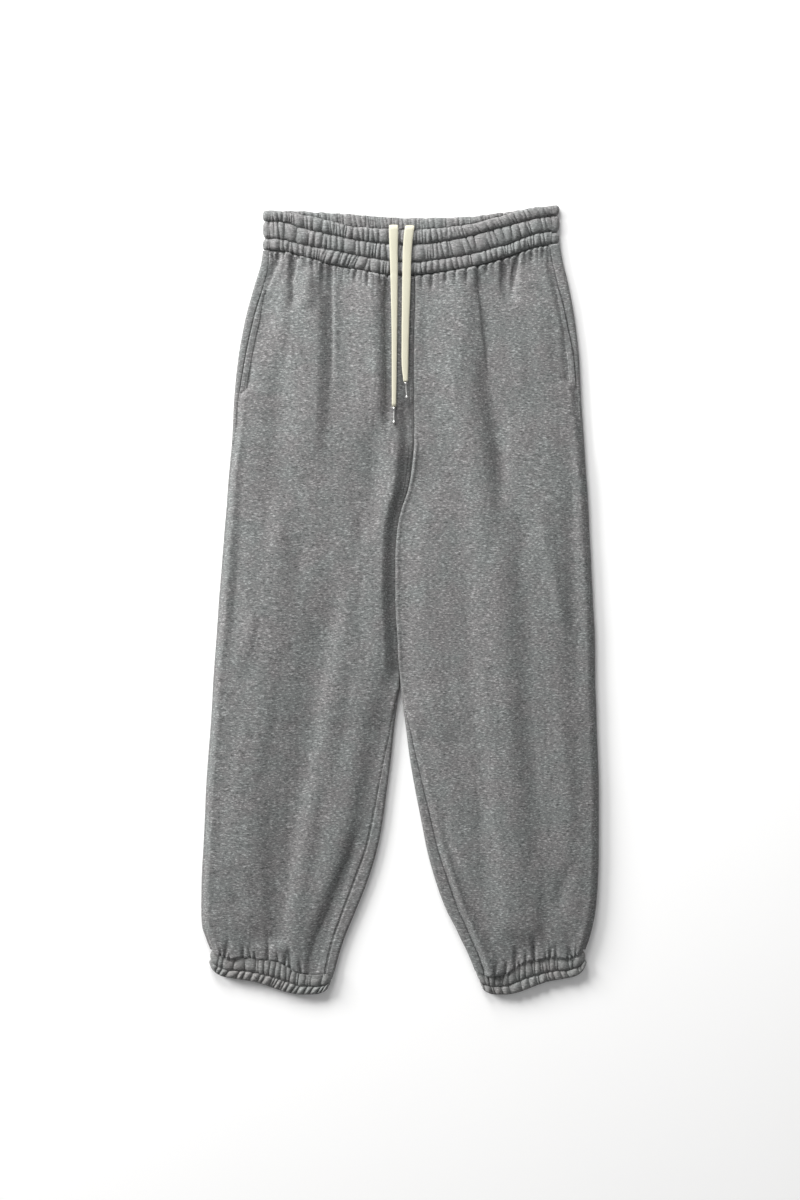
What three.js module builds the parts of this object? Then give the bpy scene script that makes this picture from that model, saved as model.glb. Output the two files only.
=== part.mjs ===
import * as THREE from 'three';

// Sizes in millimetres. X runs to the wearer's left, Y to the waist and Z up from the surface.
// The garment lies flat on its back with the two legs straight down.

// Cloth and seams
const WALL = 2.2;
const BAND_WALL = 2.6;
const SEAM_GAP = 0.3;
const CENTRE_GAP = 0.25;
const CUFF_GAP = 0.35;
const WAIST_GAP = 0.5;
const OUTER_ROLL = 4.0;
const INNER_ROLL = { right: 3.5, left: 5.4 };
const SEAM_TURN_UP = 0.8;

// Levels down the garment
const CROTCH_Y = 94;
const PARTING_Y = 205;

// Outline of the legs and hips, one row per section down the garment
const SECTION_COLUMNS = ['y', 'outerRight', 'outerLeft', 'innerRight', 'innerLeft', 'crown', 'centre'];
const SECTIONS = [
  [455.5, -172.5, 201.5, 18, 18, 0.8, 10.2],
  [427.5, -176, 206.5, 19, 19, 1.2, 10.2],
  [398.5, -184.5, 213.5, 19, 19, 3.2, 9.6],
  [354, -196.5, 221.5, 18, 18, 4.1, 9.2],
  [303.5, -205.5, 227, 17, 17, 4.2, 9.0],
  [253, -210.5, 229.5, 17, 17, 4.1, 9.0],
  [202, -213, 233, 17.5, 17.5, 3.9, 9.4],
  [164, -216.5, 235.5, 14.5, 14.5, 3.9, 9.8],
  [138.5, -218.5, 237.5, 10, 10, 3.9, 10],
  [111, -220.5, 239, 1.5, 1.5, 4.1, 10],
  [88, -222.5, 240, -3, -3, 4.2, 10],
  [50, -225.5, 242, -5, -5, 4.5, 10],
  [-0.5, -229.5, 244.5, -5, -5, 4.7, 10],
  [-51.5, -233, 247, -2.5, -2.5, 4.7, 10],
  [-106, -237, 247.5, 0, 0.4, 4.7, 10],
  [-127.5, -238, 248.5, -2.5, 2.5, 4.7, 10],
  [-165.5, -240.5, 249.5, -7.5, 7.5, 4.7, 10],
  [-203.5, -243.5, 251, -11.5, 12.5, 4.7, 10],
  [-241.5, -246, 252, -16.5, 19, 4.7, 10],
  [-279.5, -247.5, 252, -21.5, 26.5, 4.7, 10],
  [-317.5, -249.5, 252, -29, 34, 4.7, 10],
  [-355.5, -251.5, 251, -40.5, 44.5, 4.7, 10],
  [-393.5, -252, 248, -55.5, 58.5, 4.3, 10],
  [-412.5, -251, 244.5, -63.5, 68.5, 3.8, 10],
  [-431.5, -245, 239.5, -71, 77.5, 2.7, 10],
  [-446.5, -240, 234.5, -76, 85, 2, 10],
  [-471, -239, 233, -82.5, 95, 1.7, 10],
];

// How far the side seams sit in from the edge, one row per level
const SIDE_SEAM_COLUMNS = ['y', 'right', 'left'];
const SIDE_SEAM = [
  [455, 6, 14],
  [398, 12.5, 14],
  [380, 11.5, 12],
  [346, 10.5, 10],
  [306, 9, 6.5],
  [263, 6.5, 5],
  [230, 4.6, 3.4],
  [190, 2.4, 2.2],
  [140, 1.5, 1.5],
  [-471, 1.5, 1.5],
];

// How far the inseams sit in from the inner edge, one row per level
const INSEAM_COLUMNS = ['y', 'inset'];
const INSEAM = [
  [455, 0],
  [-106, 0],
  [-140, 1.6],
  [-168, 4.2],
  [-206, 8.6],
  [-253, 11.4],
  [-310, 13.4],
  [-362, 16],
  [-415, 14],
  [-471, 10.5],
];

// Lines across a leg where it ends, from the outer edge (0) to the inner edge (1)
const ACROSS_COLUMNS = ['across', 'y'];
const LEG_END = [
  [0, -443], [0.06, -450], [0.14, -455.5], [0.25, -453.5], [0.4, -456.5], [0.52, -459], [0.61, -465.5],
  [0.72, -474.5], [0.83, -476], [0.91, -475], [1, -469.5],
];
const CUFF_HEM = [
  [0, -464], [0.03, -473], [0.1, -478], [0.33, -481.8], [0.42, -486.3], [0.54, -494.8], [0.65, -498.8],
  [0.76, -499.8], [0.87, -498.6], [0.94, -494.6], [1, -487],
];

// Edges of the cuffs from their seam (0) to their hem (1)
const CUFF_EDGE_COLUMNS = ['row', 'outerRight', 'innerRight', 'outerLeft', 'innerLeft'];
const CUFF_EDGE = [
  [0, -239.5, -81.5, 234, 94.5],
  [0.28, -242.5, -84, 236.5, 97],
  [0.59, -241.5, -86, 236, 99.5],
  [0.8, -242.5, -88, 237, 101.5],
  [1, -238.5, -88.5, 233.5, 102],
];

// Waistband lines, one row per place across the band
const BAND_COLUMNS = ['x', 'top', 'upperStitch', 'lowerStitch', 'seam'];
const BAND = [
  [-174, 492.8, 479.2, 457, 442.3],
  [-163, 492.8, 479.0, 457, 442.3],
  [-147, 491, 477.2, 455, 441],
  [-118, 486.4, 468.6, 448, 433.2],
  [-88, 478.8, 462, 442.8, 424.8],
  [-59, 472.2, 455.6, 436.6, 419.2],
  [-15, 469.4, 450.2, 429, 411.3],
  [17.5, 468, 449, 426.6, 411.3],
  [40.5, 469.6, 451, 429, 413.4],
  [80, 474, 457.6, 435, 418.8],
  [112, 481, 466.2, 442.6, 427],
  [140.5, 489.4, 474, 451.2, 436],
  [171, 496.4, 482, 462.4, 446.6],
  [187, 498.6, 485, 465.8, 449.4],
  [202, 499.7, 487.4, 468.4, 451],
];
const BACK_BAND_COLUMNS = ['x', 'top', 'seam'];
const BACK_BAND = [
  [-174, 492.8, 442.3],
  [-163, 492.8, 442.3],
  [-130, 492.6, 441],
  [-81, 490.2, 438],
  [-38, 486.6, 434.5],
  [17.5, 484.2, 432],
  [80, 485.2, 433],
  [125.5, 490.4, 438],
  [156, 494.4, 443],
  [187, 498.6, 449.4],
  [202, 499.7, 451],
];

// Large folds laid on the front: ridges are positive, troughs negative
const FOLD_COLUMNS = ['x0', 'y0', 'x1', 'y1', 'height', 'halfWidth', 'fade'];
const FOLDS = [
  [-99, 412, -98, 268, -4.2, 8.5, 0.3],
  [-98, 275, -87, 198, -1.8, 9, 0.5],
  [-63, 402, -60, 190, 3.6, 15, 0.25],
  [-20, 410, -17, 222, -5.0, 7.5, 0.2],
  [7, 250, 5, 150, -2.6, 8, 0.4],
  [-136, 412, -135, 372, -2.6, 6, 0.4],
  [-154, 408, -158, 362, 2.4, 9, 0.4],
  [-118, 414, -116, 380, 2.2, 7, 0.4],
  [62, 404, 60, 222, 4.0, 22, 0.25],
  [58, 235, 24, 118, 3.2, 20, 0.35],
  [108, 408, 103, 280, -4.2, 8, 0.3],
  [127, 240, 130, 132, -1.4, 9, 0.4],
  [129, 420, 135, 374, -3.6, 5.5, 0.3],
  [154, 420, 141, 376, -3.6, 5.5, 0.3],
  [170, 424, 174, 366, 2.6, 11, 0.4],
  [-70, 12, -95, -83, 2.6, 9, 0.4],
  [-95, -83, -114, -190, 3.0, 8.5, 0.3],
  [-114, -190, -130, -317, 3.0, 8.5, 0.3],
  [-130, -317, -146, -425, 2.8, 8.5, 0.3],
  [-114, 150, -114, 10, 1.4, 8, 0.4],
  [-184, -20, -203, -84, 1.6, 8, 0.4],
  [89, 30, 101, -83, 2.6, 9, 0.4],
  [101, -83, 114, -190, 3.0, 8.5, 0.3],
  [114, -190, 127, -317, 3.0, 8.5, 0.3],
  [127, -317, 140, -412, 2.8, 8.5, 0.3],
  [177, 114, 209, -44, 1.6, 8, 0.4],
  [-57, -330, -78, -440, -2.0, 9, 0.4],
  [52, -318, 88, -428, -2.0, 9, 0.4],
  [-214, -342, -202, -382, -2.0, 9, 0.4],
  [212, -342, 200, -382, -1.6, 9, 0.4],
];

// Gathers where the cloth is drawn into the waistband, one row per trough
const WAIST_GATHER_COLUMNS = ['x', 'length', 'depth'];
const WAIST_GATHERS = [
  [-154.5, 24, 1.0], [-146.5, 16, 0.8], [-135.5, 34, 1.2], [-127.5, 14, 0.8], [-110.5, 20, 1.0],
  [-98, 44, 1.2], [-88, 22, 1.0], [-63.5, 14, 0.6], [-55.5, 22, 1.0], [-41, 26, 1.0],
  [-25.5, 20, 0.9], [-16, 44, 1.2], [28, 16, 0.7], [40.5, 26, 1.0], [58, 22, 1.0], [70, 18, 0.9],
  [84, 26, 1.1], [98.5, 44, 1.2], [110, 20, 0.9], [129, 40, 1.2], [150, 40, 1.2], [167, 26, 1.0],
  [181, 22, 1.0],
];

// Gathers where each leg is drawn into its cuff, across from outer edge to inseam
const CUFF_GATHER_COLUMNS = ['across', 'length', 'depth'];
const CUFF_GATHERS = [
  [0.09, 22, 1.0], [0.2, 30, 1.1], [0.32, 20, 1.0], [0.45, 34, 1.2], [0.56, 22, 1.0],
  [0.63, 30, 1.1], [0.73, 26, 1.1], [0.84, 34, 1.2], [0.93, 22, 1.0],
];

// Waistband and cuff gathers
const BAND_GATHERS = 50;
const BACK_BAND_GATHERS = 34;
const BAND_GATHER_DEPTH = 0.85;
const CUFF_FRONT_GATHERS = 17;
const CUFF_BACK_GATHERS = 10;
const CUFF_ROLL = 4.3;
const CUFF_CROWN = 0.5;
const CUFF_STITCH_AT = 0.59;

// Pocket hems
const HEM_WIDTH = 8;
const HEM_THICK = 1.0;
const HEM_LIFT = 0.45;
const HEM_TOP_Y = { right: 392, left: 396 };
const HEM_END_Y = { right: 262, left: 270 };

// Drawcord: a flat tape, 11 mm wide where it leaves the waistband
const CORD_THICK = 2.0;
const CORD_WIDTH = 11;
const CORD_STEPS = 34;
const CORD_COLUMNS = ['x', 'y', 'z', 'width'];
const CORD_RIGHT = [
  [-8, 449, 5.3, 11], [-8, 461, 5.4, 11], [-8, 469.8, 6.2, 11], [-8, 473.2, 9.3, 11],
  [-8, 470.2, 12.5, 11.5], [-8, 462, 13.4, 11.6], [-7.9, 440, 13.6, 10.4], [-7.5, 420, 14.0, 9.8],
  [-7.4, 402, 14.3, 9.2], [-7.2, 385, 14.6, 8.6], [-7, 341, 14.9, 7.2], [-7.2, 290, 14.9, 6.4],
  [-7.5, 243.5, 15.0, 5.6],
];
const CORD_LEFT = [
  [12.5, 449, 5.3, 11], [12.5, 461, 5.4, 11], [12.5, 469.4, 6.2, 11], [12.4, 472.6, 9.3, 11],
  [12.2, 469.8, 12.5, 12], [11, 462, 13.4, 12], [9.2, 440, 13.6, 11.2], [8.6, 420, 14.2, 10.9],
  [8.2, 402, 14.6, 10.7], [7.8, 385, 14.9, 10.4], [6.8, 341, 15.1, 9.4], [6.4, 295, 15.2, 8.4],
  [7.2, 275, 15.6, 5.6],
];
const AGLET_RADIUS = 1.9;
const AGLET_LENGTH = 22;

// Colours
const CLOTH = { upper: 0x858887, lower: 0x6e6f6c, band: 0x7f8180, bandInside: 0x787a79, cuff: 0x676865 };
const CORD_COLOUR = 0xdad9cc;
const METAL_COLOUR = 0xc9cac8;

// Numbers and curves
const clamp = (v, lo, hi) => Math.min(hi, Math.max(lo, v));
const mix = (a, b, t) => a + (b - a) * t;
const ease = (t) => { const c = clamp(t, 0, 1); return c * c * (3 - 2 * c); };

function curve(columns, rows, from, to) {
  const a = columns.indexOf(from);
  const b = columns.indexOf(to);
  const pts = rows.map((r) => [r[a], r[b]]).sort((p, q) => p[0] - q[0]);
  const n = pts.length;
  const step = [];
  for (let i = 0; i < n - 1; i += 1) step.push((pts[i + 1][1] - pts[i][1]) / (pts[i + 1][0] - pts[i][0]));
  const slope = pts.map((p, i) => {
    if (i === 0) return step[0];
    if (i === n - 1) return step[n - 2];
    if (step[i - 1] * step[i] <= 0) return 0;
    return 2 * step[i - 1] * step[i] / (step[i - 1] + step[i]);
  });
  return (x) => {
    const v = clamp(x, pts[0][0], pts[n - 1][0]);
    let i = 0;
    while (i < n - 2 && v > pts[i + 1][0]) i += 1;
    const h = pts[i + 1][0] - pts[i][0];
    const t = (v - pts[i][0]) / h;
    const t2 = t * t;
    const t3 = t2 * t;
    return (2 * t3 - 3 * t2 + 1) * pts[i][1] + (t3 - 2 * t2 + t) * h * slope[i]
      + (3 * t2 - 2 * t3) * pts[i + 1][1] + (t3 - t2) * h * slope[i + 1];
  };
}

const section = (name) => curve(SECTION_COLUMNS, SECTIONS, 'y', name);
const crownAt = section('crown');
const centreAt = section('centre');
const inseamAt = curve(INSEAM_COLUMNS, INSEAM, 'y', 'inset');

const SIDES = {
  right: {
    sign: -1,
    outer: section('outerRight'),
    inner: section('innerRight'),
    seam: curve(SIDE_SEAM_COLUMNS, SIDE_SEAM, 'y', 'right'),
    roll: INNER_ROLL.right,
  },
  left: {
    sign: 1,
    outer: section('outerLeft'),
    inner: section('innerLeft'),
    seam: curve(SIDE_SEAM_COLUMNS, SIDE_SEAM, 'y', 'left'),
    roll: INNER_ROLL.left,
  },
};
const legEnd = curve(ACROSS_COLUMNS, LEG_END, 'across', 'y');
const cuffHem = curve(ACROSS_COLUMNS, CUFF_HEM, 'across', 'y');
const bandAt = Object.fromEntries(
  BAND_COLUMNS.slice(1).map((name) => [name, curve(BAND_COLUMNS, BAND, 'x', name)]),
);
const backBandAt = Object.fromEntries(
  BACK_BAND_COLUMNS.slice(1).map((name) => [name, curve(BACK_BAND_COLUMNS, BACK_BAND, 'x', name)]),
);
const cuffEdge = (name) => curve(CUFF_EDGE_COLUMNS, CUFF_EDGE, 'row', name);
const CUFF_SIDE = {
  right: { outer: cuffEdge('outerRight'), inner: cuffEdge('innerRight') },
  left: { outer: cuffEdge('outerLeft'), inner: cuffEdge('innerLeft') },
};

// Height of the large folds at a place on the front
function foldHeight(x, y) {
  let sum = 0;
  for (const [x0, y0, x1, y1, height, halfWidth, fade] of FOLDS) {
    const dx = x1 - x0;
    const dy = y1 - y0;
    const t = ((x - x0) * dx + (y - y0) * dy) / (dx * dx + dy * dy);
    if (t > -0.3 && t < 1.3) {
      const px = x - x0 - dx * t;
      const py = y - y0 - dy * t;
      const near = Math.exp(-(px * px + py * py) / (halfWidth * halfWidth));
      sum += height * near * ease((t + fade * 0.5) / fade) * ease((1 + fade * 0.5 - t) / fade);
    }
  }
  return sum;
}

// The roll of cloth at an edge: how far the lower panel turns up before it meets the front
function rollUp(radius, inset, turn) {
  const bend = turn < 1 ? Math.PI / 2 * turn : Math.PI - Math.asin(clamp(1 - inset / radius, 0, 1));
  const length = Math.max(radius * Math.PI / 2, radius * bend);
  return { bend, length, radius: length / Math.max(bend, 0.001), tail: Math.max(SEAM_TURN_UP, inset - radius) };
}

// A point on the roll, with the distance from where the cloth leaves the surface
function rollPoint(roll, t, tail) {
  if (roll.bend < 0.001) return [roll.length * t + roll.tail * tail, 0];
  const a = roll.bend * t;
  return [
    roll.radius * Math.sin(a) + roll.tail * tail * Math.cos(a),
    roll.radius * (1 - Math.cos(a)) + roll.tail * tail * Math.sin(a),
  ];
}

// Distance from where the roll leaves the surface to its outermost point
function rollReach(roll) {
  return roll.bend < Math.PI / 2 ? rollPoint(roll, 1, 1)[0] : roll.radius;
}

// Both ends of the section at one level of one side
function outerRoll(side, y) {
  return rollUp(OUTER_ROLL, SIDES[side].seam(y), 1);
}
function backCentreTurn(y) {
  return y > CROTCH_Y ? 1 - ease((y - CROTCH_Y) / 55) : 1;
}
function frontCentreTurn(y) {
  return y > CROTCH_Y ? 1 - ease((y - CROTCH_Y) / (PARTING_Y - CROTCH_Y)) : 1;
}
function innerRoll(side, y) {
  return rollUp(SIDES[side].roll, inseamAt(y), backCentreTurn(y));
}

// A place on the lower panel: across is -2 at the side seam and 3 at the inseam or centre seam
function backSection(side, across, y) {
  const s = SIDES[side];
  const out = outerRoll(side, y);
  const inn = innerRoll(side, y);
  const xOut = s.outer(y) - s.sign * rollReach(out);
  const xInn = s.inner(y) + s.sign * (CENTRE_GAP + rollReach(inn));
  if (across < 0) {
    const [e, z] = rollPoint(out, clamp(-across, 0, 1), clamp(-across - 1, 0, 1));
    return [xOut + s.sign * e, z];
  }
  if (across > 1) {
    const [e, z] = rollPoint(inn, clamp(across - 1, 0, 1), clamp(across - 2, 0, 1));
    return [xInn - s.sign * e, z];
  }
  return [mix(xOut, xInn, across), 0];
}

// The front panel's end at one edge: seam point, and the bend that brings it down to the seam
function frontEnd(roll, edgeX, inward, bendDown) {
  const [e, z] = rollPoint(roll, 1, 1);
  const length = OUTER_ROLL * Math.PI / 2;
  const reach = bendDown > 0.001 ? length * Math.sin(bendDown) / bendDown : length;
  const drop = bendDown > 0.001 ? length * (1 - Math.cos(bendDown)) / bendDown : 0;
  const seamX = edgeX + inward * (rollReach(roll) - e + SEAM_GAP * Math.cos(bendDown));
  const seamZ = z + SEAM_GAP * Math.sin(bendDown);
  return { bendDown, length, startX: seamX + inward * reach, startZ: seamZ + drop };
}

function frontEnds(side, y) {
  const s = SIDES[side];
  const out = outerRoll(side, y);
  const a = frontEnd(out, s.outer(y), -s.sign, Math.PI - out.bend);
  const turn = frontCentreTurn(y);
  const inn = rollUp(s.roll, inseamAt(y), 1);
  const down = turn < 1 ? Math.PI / 2 * turn : Math.PI - inn.bend;
  const b = frontEnd(inn, s.inner(y) + s.sign * CENTRE_GAP, s.sign, down);
  if (turn < 1) {
    const reach = b.bendDown > 0.001 ? b.length * Math.sin(b.bendDown) / b.bendDown : b.length;
    b.startX = s.inner(y) + s.sign * (CENTRE_GAP + reach);
    b.startZ = mix(centreAt(y), b.startZ, turn);
  }
  return { a, b, turn };
}

function bendPoint(end, t) {
  const a = end.bendDown * t;
  const radius = end.bendDown > 0.001 ? end.length / end.bendDown : 1;
  return end.bendDown > 0.001
    ? [radius * Math.sin(a), radius * (1 - Math.cos(a))]
    : [end.length * t, 0];
}

// A place on the front panel: across is -1 at the side seam and 2 at the inseam or centre seam
function frontSection(side, across, y) {
  const s = SIDES[side];
  const { a, b, turn } = frontEnds(side, y);
  const u = clamp(across, 0, 1);
  const x = mix(a.startX, b.startX, u);
  const fromOuter = Math.abs(x - a.startX);
  const fromInner = Math.abs(b.startX - x);
  const closed = mix(1, ease(fromInner / 34), turn);
  const rise = crownAt(y) * ease(fromOuter / 40) * closed;
  const folds = foldHeight(x, y) * ease(fromOuter / 14) * mix(1, ease(fromInner / 14), turn);
  const z = mix(a.startZ, b.startZ, ease(u)) + rise + folds;
  if (across < 0) {
    const [e, d] = bendPoint(a, -across);
    return [x + s.sign * e, z - d];
  }
  if (across > 1) {
    const [e, d] = bendPoint(b, across - 1);
    return [x - s.sign * e, z - d];
  }
  return [x, z];
}

// Levels of the rows down a panel, closer together at its two ends
const HIP_ROWS = [0, 0.035, 0.08, 0.14, 0.22, 0.32, 0.43, 0.54, 0.65, 0.76, 0.88, 1];
const LEG_ROWS = [
  0.05, 0.11, 0.18, 0.25, 0.32, 0.37, 0.43, 0.5, 0.57, 0.64, 0.71, 0.78, 0.85, 0.91, 0.955, 1,
];
const PANEL_ROWS = [...HIP_ROWS, ...LEG_ROWS.map((t) => 1 + t)];

// Where a panel meets its cuff and the waistband, by place across the garment
function cuffLine(side, x) {
  const { outer, inner } = CUFF_SIDE[side];
  return legEnd((x - outer(0)) / (inner(0) - outer(0)));
}

// Level of a point on a panel: both ends follow the seam they are sewn to
function levelAt(side, panel, across, down) {
  const sectionOf = panel === 'back' ? backSection : frontSection;
  const seam = panel === 'back' ? backBandAt.seam : bandAt.seam;
  if (down < 1) {
    let top = 430;
    for (let k = 0; k < 3; k += 1) top = seam(sectionOf(side, across, top)[0]);
    return mix(top - WAIST_GAP, CROTCH_Y, down);
  }
  let end = -457;
  for (let k = 0; k < 3; k += 1) end = cuffLine(side, sectionOf(side, across, end)[0]);
  return mix(CROTCH_Y, end + CUFF_GAP, down - 1);
}

const frontPoint = (side) => (across, down) => {
  const y = levelAt(side, 'front', across, down);
  const [x, z] = frontSection(side, across, y);
  return new THREE.Vector3(x, y, z);
};
const backPoint = (side) => (across, down) => {
  const y = levelAt(side, 'back', across, down);
  const [x, z] = backSection(side, across, y);
  return new THREE.Vector3(x, y, z);
};

// Unit direction out of a surface given by two parameters
function outward(point, across, down, range, flip) {
  const a0 = Math.max(range[0], across - 0.03);
  const a1 = Math.min(range[1], across + 0.03);
  const d0 = Math.max(range[2], down - 0.004);
  const d1 = Math.min(range[3], down + 0.004);
  const u = point(a1, down).sub(point(a0, down));
  const v = point(across, d1).sub(point(across, d0));
  return u.cross(v).normalize().multiplyScalar(flip);
}

// Troughs of the gathers on a front panel
function panelGather(side, across, p, down) {
  let sum = 0;
  if (down < 0.25) {
    const top = bandAt.seam(p.x);
    for (const [x, length, depth] of WAIST_GATHERS) {
      const d = (p.x - x) / 3.4;
      sum -= depth * Math.exp(-d * d) * (1 - ease((top - p.y) / length));
    }
  }
  if (down > 1.85) {
    const end = cuffLine(side, p.x);
    for (const [at, length, depth] of CUFF_GATHERS) {
      const d = (clamp(across, 0, 1) - at) / 0.026;
      sum -= depth * Math.exp(-d * d) * (1 - ease((p.y - end) / length));
    }
  }
  return Math.max(sum, -1.1);
}

// Meshes
class Skin {
  constructor() {
    this.points = [];
    this.faces = [];
  }

  add(p) {
    this.points.push(p.x, p.y, p.z);
    return this.points.length / 3 - 1;
  }

  // Fill between two rows of points with their own spacing
  zip(a, b, ta, tb) {
    let i = 0;
    let j = 0;
    while (i < a.length - 1 || j < b.length - 1) {
      const nextA = i < a.length - 1 ? ta[i + 1] : Infinity;
      const nextB = j < b.length - 1 ? tb[j + 1] : Infinity;
      if (nextA <= nextB) {
        this.faces.push(a[i], b[j], a[i + 1]);
        i += 1;
      } else {
        this.faces.push(a[i], b[j], b[j + 1]);
        j += 1;
      }
    }
  }

  geometry(flip) {
    const index = [];
    for (let k = 0; k < this.faces.length; k += 3) {
      const [a, b, c] = this.faces.slice(k, k + 3);
      if (flip) index.push(a, c, b);
      else index.push(a, b, c);
    }
    const g = new THREE.BufferGeometry();
    g.setAttribute('position', new THREE.Float32BufferAttribute(this.points, 3));
    g.setIndex(index);
    g.computeVertexNormals();
    return g;
  }
}

// A wall of cloth: rows of outer points, rows of inner points, and the four cut edges
function wall(outerRows, innerRows, flip) {
  const skin = new Skin();
  const place = (rows) => rows.map((r) => ({ ids: r.points.map((p) => skin.add(p)), at: r.at, down: r.down }));
  const out = place(outerRows);
  const inn = place(innerRows);
  for (let r = 0; r < out.length - 1; r += 1) {
    skin.zip(out[r].ids, out[r + 1].ids, out[r].at, out[r + 1].at);
  }
  for (let r = 0; r < inn.length - 1; r += 1) {
    skin.zip(inn[r + 1].ids, inn[r].ids, inn[r + 1].at, inn[r].at);
  }
  const a = out[out.length - 1];
  const b = inn[inn.length - 1];
  skin.zip(inn[0].ids, out[0].ids, inn[0].at, out[0].at);
  skin.zip(a.ids, b.ids, a.at, b.at);
  const first = (rows) => rows.map((r) => r.ids[0]);
  const last = (rows) => rows.map((r) => r.ids[r.ids.length - 1]);
  const levels = (rows) => rows.map((r) => r.down);
  skin.zip(first(out), first(inn), levels(out), levels(inn));
  skin.zip(last(inn), last(out), levels(inn), levels(out));
  return skin.geometry(flip);
}

// A flattened tube of cloth: closed rings outside and inside, and the two cut ends
function sleeve(outerRings, innerRings, flip) {
  const skin = new Skin();
  const place = (rings) => rings.map((r) => {
    const ids = r.points.map((p) => skin.add(p));
    return { ids: [...ids, ids[0]], at: [...r.at, 1] };
  });
  const out = place(outerRings);
  const inn = place(innerRings);
  for (let r = 0; r < out.length - 1; r += 1) {
    skin.zip(out[r].ids, out[r + 1].ids, out[r].at, out[r + 1].at);
    skin.zip(inn[r + 1].ids, inn[r].ids, inn[r + 1].at, inn[r].at);
  }
  const last = out.length - 1;
  skin.zip(inn[0].ids, out[0].ids, inn[0].at, out[0].at);
  skin.zip(out[last].ids, inn[last].ids, out[last].at, inn[last].at);
  return skin.geometry(flip);
}

const span = (from, to, n) => Array.from({ length: n + 1 }, (v, i) => mix(from, to, i / n));

// Front panels
function frontColumns(down, fine) {
  const across = down < 0.15 || down > 1.9 ? fine : down < 0.85 ? 19 : 11;
  return [...span(-1, 0, 3), ...span(0, 1, across).slice(1), ...span(1, 2, 3).slice(1)];
}

function frontPanel(side) {
  const point = frontPoint(side);
  const range = [-1, 2, 0, 2];
  const rows = (fine, offset) => PANEL_ROWS.map((down) => {
    const at = frontColumns(down, fine);
    const points = at.map((q) => {
      const p = point(q, down);
      return p.addScaledVector(outward(point, q, down, range, SIDES[side].sign), offset(q, p, down));
    });
    return { at, points, down };
  });
  const gathers = (q, p, down) => panelGather(side, q, p, down) * ease(Math.min(q + 1, 2 - q) / 0.8);
  return wall(rows(32, gathers), rows(16, () => -WALL), SIDES[side].sign > 0);
}

// Back panels
function backPanel(side) {
  const point = backPoint(side);
  const range = [-2, 3, 0, 2];
  const sign = SIDES[side].sign;
  const rows = (bends, few, offset) => PANEL_ROWS.map((down) => {
    const flats = down === 0 || down === 2 ? 14 : few;
    const at = [-2, ...span(-1, 0, bends), ...span(0, 1, flats).slice(1), ...span(1, 2, bends).slice(1), 3];
    const points = at.map((q) => point(q, down).addScaledVector(outward(point, q, down, range, -sign), offset));
    return { at, points, down };
  });
  return wall(rows(5, 3, 0), rows(4, 2, -WALL), sign < 0);
}

// Waistband
const BAND_SIDE = { right: { edge: -173.2, seam: 6 }, left: { edge: 201, seam: 9 } };
const BAND_LINES = ['top', 'upperStitch', 'lowerStitch', 'seam'];

function bandEnds() {
  const out = {};
  for (const name of ['right', 'left']) {
    const roll = rollUp(OUTER_ROLL, BAND_SIDE[name].seam, 1);
    const inward = name === 'right' ? 1 : -1;
    out[name] = { roll, ...frontEnd(roll, BAND_SIDE[name].edge, inward, Math.PI - roll.bend) };
  }
  return out;
}
const BAND_END = bandEnds();

function bandSurface(across, row) {
  const x0 = BAND_END.right.startX - BAND_END.right.length;
  const x1 = BAND_END.left.startX + BAND_END.left.length;
  const x = mix(x0, x1, across);
  const fromEnd = Math.min(x - x0, x1 - x);
  const channel = Math.min(2, Math.floor(row));
  const y = mix(bandAt[BAND_LINES[channel]](x), bandAt[BAND_LINES[channel + 1]](x), row - channel);
  const base = mix(BAND_END.right.startZ, BAND_END.left.startZ, across);
  return new THREE.Vector3(x, y, base + 2.2 * ease(fromEnd / 90));
}

// Channels of the waistband: deep at the stitch rows, full between them, drawn into gathers
function channelRelief(row, wave) {
  const channel = Math.min(2, Math.floor(row));
  const t = row - channel;
  const full = Math.sin(Math.PI * clamp(t, 0, 1)) ** 0.6;
  const open = channel === 0 && t < 0.5 ? Math.max(full, 0.45) : full;
  return -1.0 + 1.4 * open - BAND_GATHER_DEPTH * (0.35 + 0.65 * open) * wave;
}

function waistbandFront() {
  const rowsOut = [0, 0.18, 0.5, 0.82, 1, 1.3, 1.7, 2, 2.3, 2.7, 3];
  const columns = BAND_GATHERS * 2;
  const outer = rowsOut.map((row) => {
    const at = span(0, 1, columns);
    const points = at.map((q, i) => {
      const sway = 0.24 * Math.sin(i * 1.7 + row * 2.1) / columns;
      const s = i === 0 || i === columns ? q : q + sway;
      const uneven = 0.72 + 0.28 * Math.sin(i * 0.83 + Math.floor(row) * 1.9);
      const edge = ease(Math.min(i, columns - i) / 2);
      const p = bandSurface(s, row);
      p.z += channelRelief(row, (i % 2) * uneven) * edge;
      return p;
    });
    return { at, points, down: row };
  });
  const inner = [0, 1, 2, 3].map((row) => {
    const at = span(0, 1, 24);
    const points = at.map((q) => bandSurface(q, row).add(new THREE.Vector3(0, 0, -BAND_WALL)));
    return { at, points, down: row };
  });
  return wall(outer, inner, false);
}

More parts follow.
